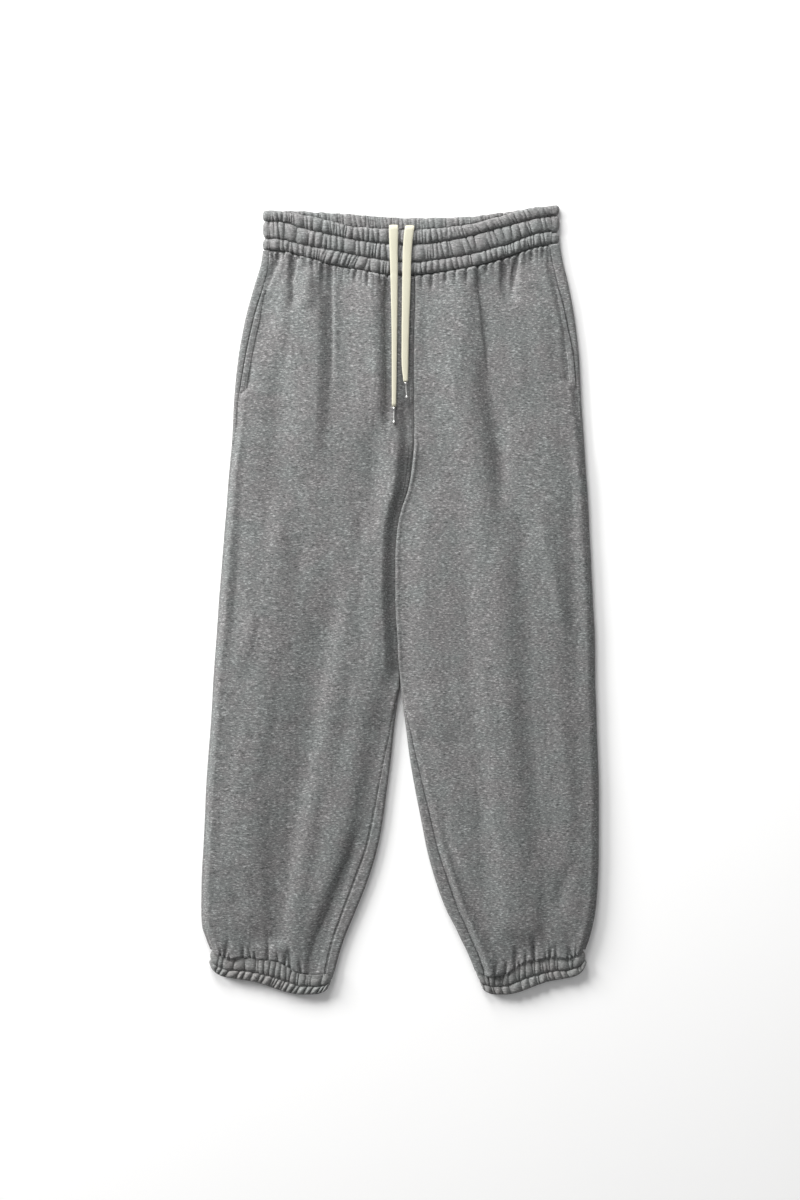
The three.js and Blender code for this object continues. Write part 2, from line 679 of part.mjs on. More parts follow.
function waistbandBack() {
  const right = BAND_END.right.roll;
  const left = BAND_END.left.roll;
  const x0 = BAND_SIDE.right.edge + right.radius;
  const x1 = BAND_SIDE.left.edge - left.radius;
  const place = (q, row) => {
    let x = mix(x0, x1, clamp(q, 0, 1));
    let z = 0;
    if (q < 0) {
      const [e, h] = rollPoint(right, clamp(-q, 0, 1), clamp(-q - 1, 0, 1));
      x = x0 - e;
      z = h;
    }
    if (q > 1) {
      const [e, h] = rollPoint(left, clamp(q - 1, 0, 1), clamp(q - 2, 0, 1));
      x = x1 + e;
      z = h;
    }
    const y = mix(backBandAt.top(x), backBandAt.seam(x), row);
    return new THREE.Vector3(x, y, z);
  };
  const rows = [0, 0.26, 0.34, 0.66, 0.72, 1];
  const columns = (flats) => [
    -2, ...span(-1, 0, 5), ...span(0, 1, flats).slice(1), ...span(1, 2, 5).slice(1), 3,
  ];
  const make = (flats, levels, offset) => levels.map((row) => {
    const at = columns(row === 1 ? Math.max(flats, 24) : flats);
    const points = at.map((q, i) => {
      const n = outward(place, q, row, [-2, 3, 0, 1], 1);
      return place(q, row).addScaledVector(n, offset(q, row, i));
    });
    return { at, points, down: row };
  });
  const gathered = (q, row, i) => {
    const flat = ease(Math.min(q, 1 - q) / 0.04);
    const stitched = row === 0.26 || row === 0.72 || row === 1 ? 0.5 : 1;
    const wave = (i % 2) * (0.7 + 0.3 * Math.sin(i * 0.9));
    return flat * BAND_GATHER_DEPTH * wave * stitched - BAND_WALL;
  };
  return wall(make(10, [0, 0.5, 1], () => 0), make(BACK_BAND_GATHERS * 2, rows, gathered), true);
}

// Cuffs: flattened tubes with two stitched channels
function cuffPlace(side, at, row, roll) {
  const s = SIDES[side];
  const xo = CUFF_SIDE[side].outer(row);
  const xi = CUFF_SIDE[side].inner(row);
  const shrink = CUFF_ROLL - roll;
  const a = xo - s.sign * CUFF_ROLL;
  const b = xi + s.sign * CUFF_ROLL;
  let x;
  let z;
  if (at < 0.4) {
    const u = at / 0.4;
    x = mix(a, b, u);
    z = CUFF_ROLL + roll + CUFF_CROWN * Math.sin(Math.PI * u);
  } else if (at < 0.5) {
    const t = (at - 0.4) / 0.1 * Math.PI;
    x = b - s.sign * roll * Math.sin(t);
    z = CUFF_ROLL + roll * Math.cos(t);
  } else if (at < 0.9) {
    x = mix(b, a, (at - 0.5) / 0.4);
    z = shrink;
  } else {
    const t = (at - 0.9) / 0.1 * Math.PI;
    x = a + s.sign * roll * Math.sin(t);
    z = CUFF_ROLL - roll * Math.cos(t);
  }
  const across = clamp((x - xo) / (xi - xo), 0, 1);
  const hidden = at > 0.5 && at < 0.9 ? 1.2 : 0;
  const y = mix(cuffLine(side, x) - CUFF_GAP, cuffHem(across) + hidden, row);
  return new THREE.Vector3(x, y, z);
}

function cuff(side) {
  const rows = [0, 0.28, CUFF_STITCH_AT, 0.8, 1];
  const front = CUFF_FRONT_GATHERS * 2;
  const back = CUFF_BACK_GATHERS * 2;
  const ringAt = (f, b, bends) => [
    ...span(0, 0.4, f), ...span(0.4, 0.5, bends).slice(1), ...span(0.5, 0.9, b).slice(1),
    ...span(0.9, 1, bends).slice(1, -1),
  ];
  const outer = rows.map((row, r) => {
    const at = ringAt(front, back, 4);
    const points = at.map((q, i) => {
      const p = cuffPlace(side, q, row, CUFF_ROLL);
      if (q > 0.005 && q < 0.395) {
        const stitched = row === CUFF_STITCH_AT || row === 0 || row === 1;
        const uneven = 0.7 + 0.3 * Math.sin(i * 0.9 + r);
        p.z += (stitched ? -0.9 : 0.4) - (i % 2) * uneven * (stitched ? 0.35 : 0.9);
      }
      if (q > 0.505 && q < 0.895 && row > 0 && row < 1) p.z += (i % 2) * 0.7;
      return p;
    });
    return { at, points };
  });
  const inner = rows.map((row) => {
    const at = row === 0 ? ringAt(24, 16, 5) : ringAt(12, 8, 5);
    return { at, points: at.map((q) => cuffPlace(side, q, row, CUFF_ROLL - BAND_WALL)) };
  });
  return sleeve(outer, inner, SIDES[side].sign > 0);
}

// Pocket hems: a narrow double-stitched strip on each front panel beside the pocket opening
function pocketHem(side) {
  const point = frontPoint(side);
  const sign = SIDES[side].sign;
  const range = [-1, 2, 0, 2];
  const top = levelAt(side, 'front', -1, 0);
  const downAt = (y) => (top - y) / (top - CROTCH_Y);
  const from = downAt(HEM_TOP_Y[side]);
  const to = downAt(HEM_END_Y[side]);
  const rowsAt = [from, ...PANEL_ROWS.filter((d) => d > from + 0.01 && d < to - 0.01), to];
  const make = (lift) => rowsAt.map((down) => {
    const y = levelAt(side, 'front', -1, down);
    const { a, b } = frontEnds(side, y);
    const width = HEM_WIDTH * mix(0.45, 1, ease((down - from) / 0.12));
    const at = span(0, 1, 3);
    const points = at.map((t) => {
      const d = 0.5 + width * t;
      const q = d < a.length ? -1 + d / a.length : (d - a.length) / Math.abs(b.startX - a.startX);
      return point(q, down).addScaledVector(outward(point, q, down, range, sign), lift(t));
    });
    return { at, points, down };
  });
  const over = (t) => 0.3 + HEM_LIFT + HEM_THICK * (t === 0 || t === 1 ? 0.8 : 1);
  return wall(make(over), make(() => 0.3 + HEM_LIFT), sign > 0);
}

// Drawcord: the route is followed closely round the waistband's edge and coarsely down the front
class CordRoute extends THREE.CatmullRomCurve3 {
  spread(u) {
    return u < 0.5 ? u * 0.36 : 0.18 + (u - 0.5) * 1.64;
  }

  getPointAt(u, target) {
    return super.getPointAt(this.spread(u), target);
  }

  getTangentAt(u, target) {
    return super.getTangentAt(this.spread(u), target);
  }
}

function drawcord(rows) {
  const route = new CordRoute(rows.map(([x, y, z]) => new THREE.Vector3(x, y, z)), false, 'centripetal');
  const shape = new THREE.Shape();
  for (let i = 0; i < 10; i += 1) {
    const a = i / 10 * Math.PI * 2 + Math.PI / 10;
    const x = CORD_WIDTH / 2 * Math.sign(Math.cos(a)) * Math.abs(Math.cos(a)) ** 0.5;
    const y = CORD_THICK / 2 * Math.sign(Math.sin(a)) * Math.abs(Math.sin(a)) ** 0.7;
    if (i === 0) shape.moveTo(x, y);
    else shape.lineTo(x, y);
  }
  const g = new THREE.ExtrudeGeometry(shape, {
    steps: CORD_STEPS, extrudePath: route, bevelEnabled: false, curveSegments: 1,
  });
  const front = rows.filter((r) => r[2] > 11.5);
  const widthAt = curve(CORD_COLUMNS, front, 'y', 'width');
  const middleAt = curve(CORD_COLUMNS, front, 'y', 'x');
  const pos = g.attributes.position;
  for (let i = 0; i < pos.count; i += 1) {
    if (pos.getZ(i) > 9.2) {
      const mid = middleAt(pos.getY(i));
      pos.setX(i, mid + (pos.getX(i) - mid) * widthAt(pos.getY(i)) / CORD_WIDTH);
    }
  }
  return g;
}

// Aglets: metal tips crimped on the ends of the drawcord
function aglet(rows, tiltX) {
  const profile = [
    [0, 0], [1.5, 0], [AGLET_RADIUS, 0.8], [AGLET_RADIUS, 3.2], [1.55, 3.8], [1.55, 16.4], [1.3, 17.4],
    [AGLET_RADIUS, 18.6], [AGLET_RADIUS, 20.2], [1.2, AGLET_LENGTH - 0.5], [0, AGLET_LENGTH],
  ];
  const g = new THREE.LatheGeometry(profile.map(([r, h]) => new THREE.Vector2(r, h)), 12);
  const end = rows[rows.length - 1];
  g.rotateX(Math.PI);
  g.rotateZ(tiltX);
  g.translate(end[0], end[1] - 0.4, end[2]);
  return g;
}

// Assembly
const group = new THREE.Group();
group.name = 'jogger_sweatpants';

function add(name, geometry, color, roughness, metalness) {
  const material = new THREE.MeshStandardMaterial({ color, roughness, metalness });
  const mesh = new THREE.Mesh(geometry, material);
  mesh.name = name;
  group.add(mesh);
}

for (const side of ['right', 'left']) {
  add(`front_${side}`, frontPanel(side), CLOTH.upper, 0.95, 0);
  add(`back_${side}`, backPanel(side), CLOTH.lower, 0.95, 0);
  add(`cuff_${side}`, cuff(side), CLOTH.cuff, 0.95, 0);
  add(`pocket_hem_${side}`, pocketHem(side), CLOTH.upper, 0.95, 0);
}
add('waistband_front', waistbandFront(), CLOTH.band, 0.95, 0);
add('waistband_back', waistbandBack(), CLOTH.bandInside, 0.95, 0);
add('drawcord_right', drawcord(CORD_RIGHT), CORD_COLOUR, 0.9, 0);
add('drawcord_left', drawcord(CORD_LEFT), CORD_COLOUR, 0.9, 0);
add('aglet_right', aglet(CORD_RIGHT, 0.0), METAL_COLOUR, 0.3, 1);
add('aglet_left', aglet(CORD_LEFT, 0.08), METAL_COLOUR, 0.3, 1);

export default group;
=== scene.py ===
import math

import bpy
import numpy as np
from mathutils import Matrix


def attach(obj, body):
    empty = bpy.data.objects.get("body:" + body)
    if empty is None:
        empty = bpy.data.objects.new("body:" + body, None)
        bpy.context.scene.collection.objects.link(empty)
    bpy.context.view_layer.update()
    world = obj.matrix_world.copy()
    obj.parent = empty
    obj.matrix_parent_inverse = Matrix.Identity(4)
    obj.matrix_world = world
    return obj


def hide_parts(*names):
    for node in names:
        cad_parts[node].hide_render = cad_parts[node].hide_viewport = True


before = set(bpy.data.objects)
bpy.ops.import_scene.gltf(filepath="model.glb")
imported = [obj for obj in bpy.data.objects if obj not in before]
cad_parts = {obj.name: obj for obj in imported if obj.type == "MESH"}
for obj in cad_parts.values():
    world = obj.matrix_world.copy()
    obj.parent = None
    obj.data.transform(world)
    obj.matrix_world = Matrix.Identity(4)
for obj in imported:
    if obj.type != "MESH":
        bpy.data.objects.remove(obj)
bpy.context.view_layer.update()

# Sizes in millimetres, as in the solids: X to the wearer's left, Y to the waist, Z up
WALL = 2.2
BAND_WALL = 2.6
THINNEST = 0.8
SEAM_GAP = 0.3
CENTRE_GAP = 0.25
CUFF_GAP = -0.1
WAIST_GAP = 0.5
OUTER_ROLL = 4.0
INNER_ROLL = {"right": 3.5, "left": 5.4}
SEAM_TURN_UP = 0.8
CROTCH_Y = 94
PARTING_Y = 205
CUFF_ROLL = 4.3
CUFF_CROWN = 0.5
CUFF_STITCH_AT = 0.59
HEM_WIDTH = 8
HEM_TOP_Y = {"right": 392, "left": 396}
HEM_END_Y = {"right": 262, "left": 270}
MM = 0.001

SECTION_COLUMNS = ["y", "outerRight", "outerLeft", "innerRight", "innerLeft", "crown", "centre"]
SECTIONS = [
    [455.5, -172.5, 201.5, 18, 18, 0.8, 10.2], [427.5, -176, 206.5, 19, 19, 1.2, 10.2],
    [398.5, -184.5, 213.5, 19, 19, 3.1, 9.6], [354, -196.5, 221.5, 18, 18, 4.1, 9.2],
    [303.5, -205.5, 227, 17, 17, 4.2, 9], [253, -210.5, 229.5, 17, 17, 4.1, 9],
    [202, -213, 233, 17.5, 17.5, 3.9, 9.4], [164, -216.5, 235.5, 14.5, 14.5, 3.9, 9.8],
    [138.5, -218.5, 237.5, 10, 10, 3.9, 10], [111, -220.5, 239, 1.5, 1.5, 4.1, 10],
    [88, -222.5, 240, -3, -3, 4.2, 10], [50, -225.5, 242, -5, -5, 4.5, 10],
    [-0.5, -229.5, 244.5, -5, -5, 4.7, 10], [-51.5, -233, 247, -2.5, -2.5, 4.7, 10],
    [-106, -237, 247.5, 0, 0.4, 4.7, 10], [-127.5, -238, 248.5, -2.5, 2.5, 4.7, 10],
    [-165.5, -240.5, 249.5, -7.5, 7.5, 4.7, 10], [-203.5, -243.5, 251, -11.5, 12.5, 4.7, 10],
    [-241.5, -246, 252, -16.5, 19, 4.7, 10], [-279.5, -247.5, 252, -21.5, 26.5, 4.7, 10],
    [-317.5, -249.5, 252, -29, 34, 4.7, 10], [-355.5, -251.5, 251, -40.5, 44.5, 4.7, 10],
    [-393.5, -252, 248, -55.5, 58.5, 4.3, 10], [-412.5, -251, 244.5, -63.5, 68.5, 3.8, 10],
    [-431.5, -245, 239.5, -71, 77.5, 2.7, 10], [-446.5, -240, 234.5, -76, 85, 2, 10],
    [-471, -239, 233, -82.5, 95, 1.7, 10],
]
SIDE_SEAM_COLUMNS = ["y", "right", "left"]
SIDE_SEAM = [
    [455, 6, 14], [398, 12.5, 14], [380, 11.5, 12], [346, 10.5, 10], [306, 9, 6.5],
    [263, 6.5, 5], [230, 4.6, 3.4], [190, 2.4, 2.2], [140, 1.5, 1.5], [-471, 1.5, 1.5],
]
INSEAM_COLUMNS = ["y", "inset"]
INSEAM = [
    [455, 0], [-106, 0], [-140, 1.6], [-168, 4.2], [-206, 8.6], [-253, 11.4], [-310, 13.4],
    [-362, 16], [-415, 14], [-471, 10.5],
]
ACROSS_COLUMNS = ["across", "y"]
LEG_END = [
    [0, -443], [0.06, -450], [0.14, -455.5], [0.25, -453.5], [0.4, -456.5], [0.52, -459], [0.61, -465.5],
    [0.72, -474.5], [0.83, -476], [0.91, -475], [1, -469.5],
]
CUFF_HEM = [
    [0, -464], [0.03, -472.5], [0.1, -477.6], [0.2, -480.3], [0.33, -483.2], [0.43, -487.2], [0.54, -492.8],
    [0.65, -497.9], [0.76, -500.2], [0.87, -500], [0.94, -497.4], [1, -490],
]
CUFF_EDGE_COLUMNS = ["row", "outerRight", "innerRight", "outerLeft", "innerLeft"]
CUFF_EDGE = [
    [0, -237.6, -81.5, 231.8, 94.5], [0.28, -241, -84, 235, 97], [0.59, -241.5, -86, 236, 99.5],
    [0.8, -242.5, -88, 237, 101.5], [1, -238.5, -88.5, 233.5, 102],
]
BAND_COLUMNS = ["x", "top", "upperStitch", "lowerStitch", "seam"]
BAND = [
    [-174, 492.8, 479.2, 457, 442.3], [-163, 492.8, 479, 457, 442.3],
    [-147, 491, 477.2, 455, 441], [-118, 486.4, 468.6, 448, 433.2],
    [-88, 478.8, 462, 442.8, 424.8], [-59, 472.2, 455.6, 436.6, 419.2],
    [-15, 469.4, 450.2, 429, 411.3], [17.5, 468, 449, 426.6, 411.3],
    [40.5, 469.6, 451, 429, 413.4], [80, 474, 457.6, 435, 418.8],
    [112, 481, 466.2, 442.6, 427], [140.5, 489.4, 474, 451.2, 436],
    [171, 496.4, 482, 462.4, 446.6], [187, 498.6, 485, 465.8, 449.4],
    [202, 499.7, 487.4, 468.4, 451],
]
BACK_BAND_COLUMNS = ["x", "top", "seam"]
BACK_BAND = [
    [-174, 492.8, 442.3], [-163, 492.8, 442.3], [-130, 492.6, 441], [-81, 490.2, 438], [-38, 486.6, 434.5],
    [17.5, 484.2, 432], [80, 485.2, 433], [125.5, 490.4, 438], [156, 494.4, 443], [187, 498.6, 449.4],
    [202, 499.7, 451],
]
# Ridges and troughs of the legs: x0, y0, x1, y1, height, half width, fade at the ends
FOLDS = [
    [-20, 414, -17, 222, -4, 7, 0.2], [7, 250, 5, 150, -2.6, 8, 0.4], [-136, 414, -135, 372, -4, 6, 0.4],
    [-118, 414, -116, 372, 3.2, 7, 0.4], [132, 250, 118, 60, -2.4, 16, 0.4], [-30, 250, -34, 60, -2.6, 15, 0.4],
    [-150, 300, -158, 120, -2.2, 18, 0.5], [108, 300, 130, 132, -2.6, 11, 0.4], [131, 424, 135, 380, -2.4, 6, 0.3],
    [150, 424, 141, 376, -2.4, 6, 0.3], [-64, 12, -88, -83, 0.9, 10, 0.4], [-88, -83, -105, -190, 1.1, 10, 0.3],
    [-105, -190, -126, -317, 1.2, 10, 0.3], [-126, -317, -141, -432, 1.2, 10, 0.3], [-114, 150, -114, 10, 0.9, 11, 0.4],
    [-184, -20, -203, -84, 2, 9, 0.4], [98, 30, 104, -83, 0.8, 10, 0.4], [104, -83, 115, -190, 1, 9, 0.3],
    [115, -190, 127, -317, 1.2, 9, 0.3], [127, -317, 136, -418, 1.2, 9, 0.3], [177, 114, 209, -44, 2.2, 9, 0.4],
    [-205, 250, -212, -60, -1.6, 12, 0.4], [214, 200, 222, -100, -1.8, 12, 0.4], [-57, -300, -84, -440, -3, 12, 0.4],
    [46, -290, 88, -434, -3.4, 13, 0.4], [-214, -342, -202, -390, -2.6, 10, 0.4], [212, -342, 200, -390, -2.4, 10, 0.4],
]
# Pleats that fall steeply on one side: x0, y0, x1, y1, depth, width of the soft flank, its side of the line, fade
PLEATS = [
    [-86, 424, -86, 250, 3, 8, -1, 0.6],
    [-129.5, 434, -135, 402, 3.4, 5, -1, 0.6],
    [96.5, 426, 114, 262, 1.8, 8, 1, 0.6],
    [149.5, 438, 142, 380, 3.6, 8, -1, 0.6],
    [130, 434, 132, 398, 3, 5.5, 1, 0.6],
    [-148, 442, -171, 386, 3, 8, -1, 0.5],
]
# Long swells of the cloth: the line of the crest as [y, x], its height (a furrow's is below zero), how far its
# flanks reach to the right leg's side and to the left leg's side, and the lengths over which it starts and ends
SWELLS = [
    ([[452, -105], [342, -105], [228, -107], [150, -112]], 5, (54, 19), (6, 90)),
    ([[452, -30], [342, -28], [228, -27], [170, -26]], 6, (46, 20), (6, 90)),
    ([[452, 84], [342, 80], [250, 81], [190, 95], [127, 112], [50, 120], [0, 127], [-127, 133], [-228, 140],
      [-304, 145], [-380, 149], [-450, 152]], 5.4, (46, 36), (6, 40)),
    ([[452, 194], [380, 200], [270, 204]], 3.2, (44, 14), (6, 90)),
    ([[452, -141], [340, -150], [270, -158]], 2, (22, 12), (6, 70)),
    ([[150, 176], [0, 186], [-150, 200], [-300, 214]], 1, (34, 22), (90, 90)),
    ([[150, -150], [0, -158], [-120, -172], [-260, -190], [-400, -204]], 2.4, (34, 32), (90, 60)),
    ([[-150, -50], [-260, -62], [-420, -92]], 1.1, (30, 18), (80, 50)),
    ([[40, -80], [-76, -98], [-190, -116], [-304, -137], [-445, -157]], -4.8, (46, 26), (90, 20)),
]
# Gathers under the waistband: x, length, depth, lean
WAIST_GATHERS = [
    [-154.5, 30, 1, 0], [-146.5, 18, 0.9, -0.1], [-135.5, 46, 1.3, -0.05], [-127.5, 16, 0.8, 0.05],
    [-110.5, 26, 1.1, 0.02], [-98, 60, 1.3, 0], [-88, 26, 1, 0.1], [-76, 12, 0.5, 0],
    [-63.5, 14, 0.7, 0], [-55.5, 26, 1, -0.12], [-41, 30, 1, 0.04], [-25.5, 22, 0.9, 0],
    [-16, 60, 1.3, 0], [3, 18, 0.7, 0], [28, 16, 0.7, 0], [40.5, 30, 1, 0.02],
    [58, 24, 1, -0.05], [70, 18, 0.9, 0.05], [84, 30, 1.1, 0], [98.5, 60, 1.3, 0.03],
    [110, 20, 0.9, -0.06], [129, 52, 1.3, 0.08], [150, 52, 1.3, -0.16], [167, 26, 1, 0],
    [181, 22, 1, 0],
]
# Gathers above the cuffs: place across each leg from its outer edge, length, depth, lean
CUFF_GATHERS = [
    [0.07, 14, 0.8, 0.1], [0.1, 34, 1.2, 0.22], [0.14, 12, 0.8, 0], [0.25, 24, 1, 0.04],
    [0.31, 20, 1.1, -0.18], [0.345, 12, 0.7, 0.05], [0.45, 40, 1.3, 0.03], [0.53, 16, 0.8, 0],
    [0.585, 26, 1.1, 0.2], [0.63, 36, 1.2, -0.04], [0.72, 24, 1.1, -0.14], [0.82, 26, 1.1, -0.2],
    [0.93, 16, 0.8, 0],
]
# Places of the short slits between the bumps of cloth under the waistband
SEAM_SLITS = [
    -169, -160, -154.5, -146.5, -135.5, -127.5, -119, -110.5, -104, -97.5, -88, -80, -72, -63.5, -55.5, -48, -41,
    -33, -25.5, -17, -8, 1, 10, 19, 28, 40.5, 49.5, 58, 70, 84, 98.5, 110, 119, 129, 139, 150, 158.5, 167, 174.5,
    181, 188, 197,
]
# Small soft wrinkles of the legs and hips that are finer than the solids, in the columns of FOLDS with one fade
SOFT_FADE = 0.5
WRINKLES = [
    [-170, 352, -150, 300, -0.7, 7], [-188, 248, -150, 236, 0.5, 6], [-140, 330, -132, 250, 0.8, 9],
    [-45, 330, -40, 240, -0.9, 6], [30, 385, 34, 300, -1, 6], [85, 330, 80, 235, -1, 7],
    [150, 330, 152, 260, 0.9, 10], [190, 360, 196, 300, -0.8, 7], [-160, 180, -150, 60, 0.8, 10],
    [-60, 170, -48, 70, -0.9, 9], [-30, 90, -60, 20, 0.8, 9], [40, 60, 70, -20, 0.9, 9],
    [150, 160, 160, 60, -0.7, 9], [210, 210, 214, 120, 0.6, 8], [-200, 80, -206, -30, -0.7, 9],
    [-60, -90, -76, -210, -1, 10], [-150, -120, -172, -240, -0.9, 10], [-200, -180, -214, -300, 0.9, 10],
    [-96, -250, -108, -360, -1, 9], [-176, -330, -170, -430, 1, 8], [-60, -280, -86, -400, 0.9, 9],
    [60, -90, 76, -210, -1, 10], [150, -120, 170, -240, -0.9, 10], [205, -160, 216, -300, 0.8, 10],
    [100, -250, 108, -360, -1, 9], [176, -330, 168, -430, 1, 8], [66, -290, 92, -400, 0.9, 9],
    [-128, 60, -110, 0, -0.8, 9],
]
# Creases pressed up into the underside, where the back lies on the surface
UNDER = [
    [-90, 420, -84, 330, 1.3, 7], [-40, 424, -46, 350, 1.1, 6], [60, 424, 66, 340, 1.3, 7],
    [130, 428, 122, 350, 1.2, 7], [-150, 430, -154, 372, 1, 6], [174, 434, 180, 380, 1, 6],
    [-120, 60, -132, -90, 0.9, 8], [-150, -180, -160, -330, 1, 8], [-100, -300, -120, -420, 1.2, 7],
    [120, 50, 132, -100, 0.9, 8], [150, -170, 162, -320, 1, 8], [110, -300, 128, -420, 1.2, 7],
    [-40, 120, -90, 60, 0.9, 8], [44, 116, 96, 56, 0.9, 8],
]
CORD_THICK = 2.0
CORD_WIDTH = 11
# Middle lines of the cords from their exits to their tips: x, y, z, width
CORD_RIGHT = [
    [-8, 449, 5.3, 11], [-8, 461, 5.4, 11], [-8, 469.8, 6.2, 11], [-8, 473.2, 9.3, 11],
    [-8, 470.2, 12.5, 11.5], [-8, 462, 13.4, 11.6], [-7.9, 440, 13.6, 10.4], [-7.5, 420, 14, 9.8],
    [-7.4, 402, 14.3, 9.2], [-7.2, 385, 14.6, 8.6], [-7, 341, 14.9, 7.2], [-7.2, 290, 14.9, 6.4],
    [-7.5, 243.5, 15, 5.6],
]
CORD_LEFT = [
    [12.5, 449, 5.3, 11], [12.5, 461, 5.4, 11], [12.5, 469.4, 6.2, 11], [12.4, 472.6, 9.3, 11],
    [12.2, 469.8, 12.5, 12], [11, 462, 13.4, 12], [9.2, 440, 13.6, 11.2], [8.6, 420, 14.2, 10.9],
    [8.2, 402, 14.6, 10.7], [7.8, 385, 14.9, 10.4], [6.8, 341, 15.1, 9.4], [6.4, 295, 15.2, 8.4],
    [7.2, 275, 15.6, 5.6],
]
AGLET_LENGTH = 22
AGLET_GAP = 0.4
AGLET_TILT = {"right": 0.0, "left": 0.08}


# Numbers and curves
def mix(a, b, t):
    return a + (b - a) * t


def unit(t):
    return np.clip(t, 0, 1)


def ease(t):
    c = unit(t)
    return c * c * (3 - 2 * c)


def spans(*runs):
    """Places along a line from runs of evenly spaced ones: the start, end and count of each."""
    return np.concatenate([np.linspace(*run)[:-1] for run in runs[:-1]] + [np.linspace(*runs[-1])])


def hill(distance, half, power=2):
    """A soft ridge of height 1 with its crest where the distance is 0."""
    return np.exp(-(distance / half) ** power)


def stretches(across, first, middle, last):
    """The value before the side at 0, between the sides, and past the side at 1."""
    return np.where(across < 0, first, np.where(across > 1, last, middle))


def curve(columns, rows, given, wanted):
    a, b = columns.index(given), columns.index(wanted)
    pts = np.array(sorted([r[a], r[b]] for r in rows), dtype=float)
    px, py = pts[:, 0], pts[:, 1]
    step = np.diff(py) / np.diff(px)
    slope = np.empty(len(px))
    slope[0], slope[-1] = step[0], step[-1]
    p = step[:-1] * step[1:]
    total = step[:-1] + step[1:]
    slope[1:-1] = np.where(p > 0, 2 * p / np.where(total == 0, 1, total), 0)

    def at(x):
        v = np.clip(np.asarray(x, dtype=float), px[0], px[-1])
        i = np.clip(np.searchsorted(px, v, side="left") - 1, 0, len(px) - 2)
        h = px[i + 1] - px[i]
        t = (v - px[i]) / h
        t2, t3 = t * t, t * t * t
        return ((2 * t3 - 3 * t2 + 1) * py[i] + (t3 - 2 * t2 + t) * h * slope[i]
                + (3 * t2 - 2 * t3) * py[i + 1] + (t3 - t2) * h * slope[i + 1])
    return at


def section(name):
    return curve(SECTION_COLUMNS, SECTIONS, "y", name)


crown_at = section("crown")
centre_at = section("centre")
inseam_at = curve(INSEAM_COLUMNS, INSEAM, "y", "inset")
SIDES = {
    side: {"sign": sign, "outer": section(f"outer{side.capitalize()}"), "inner": section(f"inner{side.capitalize()}"),
           "seam": curve(SIDE_SEAM_COLUMNS, SIDE_SEAM, "y", side), "roll": INNER_ROLL[side]}
    for side, sign in (("right", -1), ("left", 1))
}
leg_end = curve(ACROSS_COLUMNS, LEG_END, "across", "y")
cuff_hem = curve(ACROSS_COLUMNS, CUFF_HEM, "across", "y")
band_at = {name: curve(BAND_COLUMNS, BAND, "x", name) for name in BAND_COLUMNS[1:]}
back_band_at = {name: curve(BACK_BAND_COLUMNS, BACK_BAND, "x", name) for name in BACK_BAND_COLUMNS[1:]}
CUFF_SIDE = {
    side: {edge: curve(CUFF_EDGE_COLUMNS, CUFF_EDGE, "row", edge + side.capitalize()) for edge in ("outer", "inner")}
    for side in ("right", "left")
}


def fold_height(x, y, table):
    total = np.zeros(np.broadcast(x, y).shape)
    for x0, y0, x1, y1, height, half, *rest in table:
        fade = rest[0] if rest else SOFT_FADE
        dx, dy = x1 - x0, y1 - y0
        t = ((x - x0) * dx + (y - y0) * dy) / (dx * dx + dy * dy)
        px, py = x - x0 - dx * t, y - y0 - dy * t
        run = ease((t + fade * 0.5) / fade) * ease((1 + fade * 0.5 - t) / fade) * ((t > -0.3) & (t < 1.3))
        total += height * np.exp(-(px * px + py * py) / (half * half)) * run
    return total


def smooth_noise(x, y, size, seed):
    """Soft uneven bumps of about one height, size millimetres across, the same each run."""
    rng = np.random.default_rng(seed)
    grid = rng.uniform(-1, 1, (256, 256))
    u, v = x / size + 512.0, y / size + 512.0
    i, j = np.floor(u).astype(int), np.floor(v).astype(int)
    s, t = u - i, v - j
    s, t = ease(s), ease(t)
    i, j = i % 255, j % 255
    return ((grid[i, j] * (1 - s) + grid[i + 1, j] * s) * (1 - t)
            + (grid[i, j + 1] * (1 - s) + grid[i + 1, j + 1] * s) * t)


# Sections of the legs and hips, as in the solids
FLAT_ENOUGH = 0.001


def roll_up(radius, inset, turn):
    bend = np.where(turn < 1, np.pi / 2 * turn, np.pi - np.arcsin(unit(1 - inset / radius)))
    length = np.maximum(radius * np.pi / 2, radius * bend)
    return {"bend": bend, "length": length, "radius": length / np.maximum(bend, FLAT_ENOUGH),
            "tail": np.maximum(SEAM_TURN_UP, inset - radius)}


def roll_point(roll, t, tail):
    a = roll["bend"] * t
    flat = roll["bend"] < FLAT_ENOUGH
    e = np.where(flat, roll["length"] * t + roll["tail"] * tail,
                 roll["radius"] * np.sin(a) + roll["tail"] * tail * np.cos(a))
    z = np.where(flat, 0, roll["radius"] * (1 - np.cos(a)) + roll["tail"] * tail * np.sin(a))
    return e, z


def roll_reach(roll):
    return np.where(roll["bend"] < np.pi / 2, roll_point(roll, 1, 1)[0], roll["radius"])


def outer_roll(side, y):
    return roll_up(OUTER_ROLL, SIDES[side]["seam"](y), np.ones_like(y))


def centre_turn(y, reach):
    return np.where(y > CROTCH_Y, 1 - ease((y - CROTCH_Y) / reach), 1.0)


def inner_roll(side, y):
    return roll_up(SIDES[side]["roll"], inseam_at(y), centre_turn(y, 55))


def back_section(side, across, y):
    s = SIDES[side]
    across, y = np.broadcast_arrays(np.asarray(across, float), np.asarray(y, float))
    out, inn = outer_roll(side, y), inner_roll(side, y)
    x_out = s["outer"](y) - s["sign"] * roll_reach(out)
    x_inn = s["inner"](y) + s["sign"] * (CENTRE_GAP + roll_reach(inn))
    e0, z0 = roll_point(out, unit(-across), unit(-across - 1))
    e1, z1 = roll_point(inn, unit(across - 1), unit(across - 2))
    x = stretches(across, x_out + s["sign"] * e0, mix(x_out, x_inn, across), x_inn - s["sign"] * e1)
    return x, stretches(across, z0, 0.0, z1)


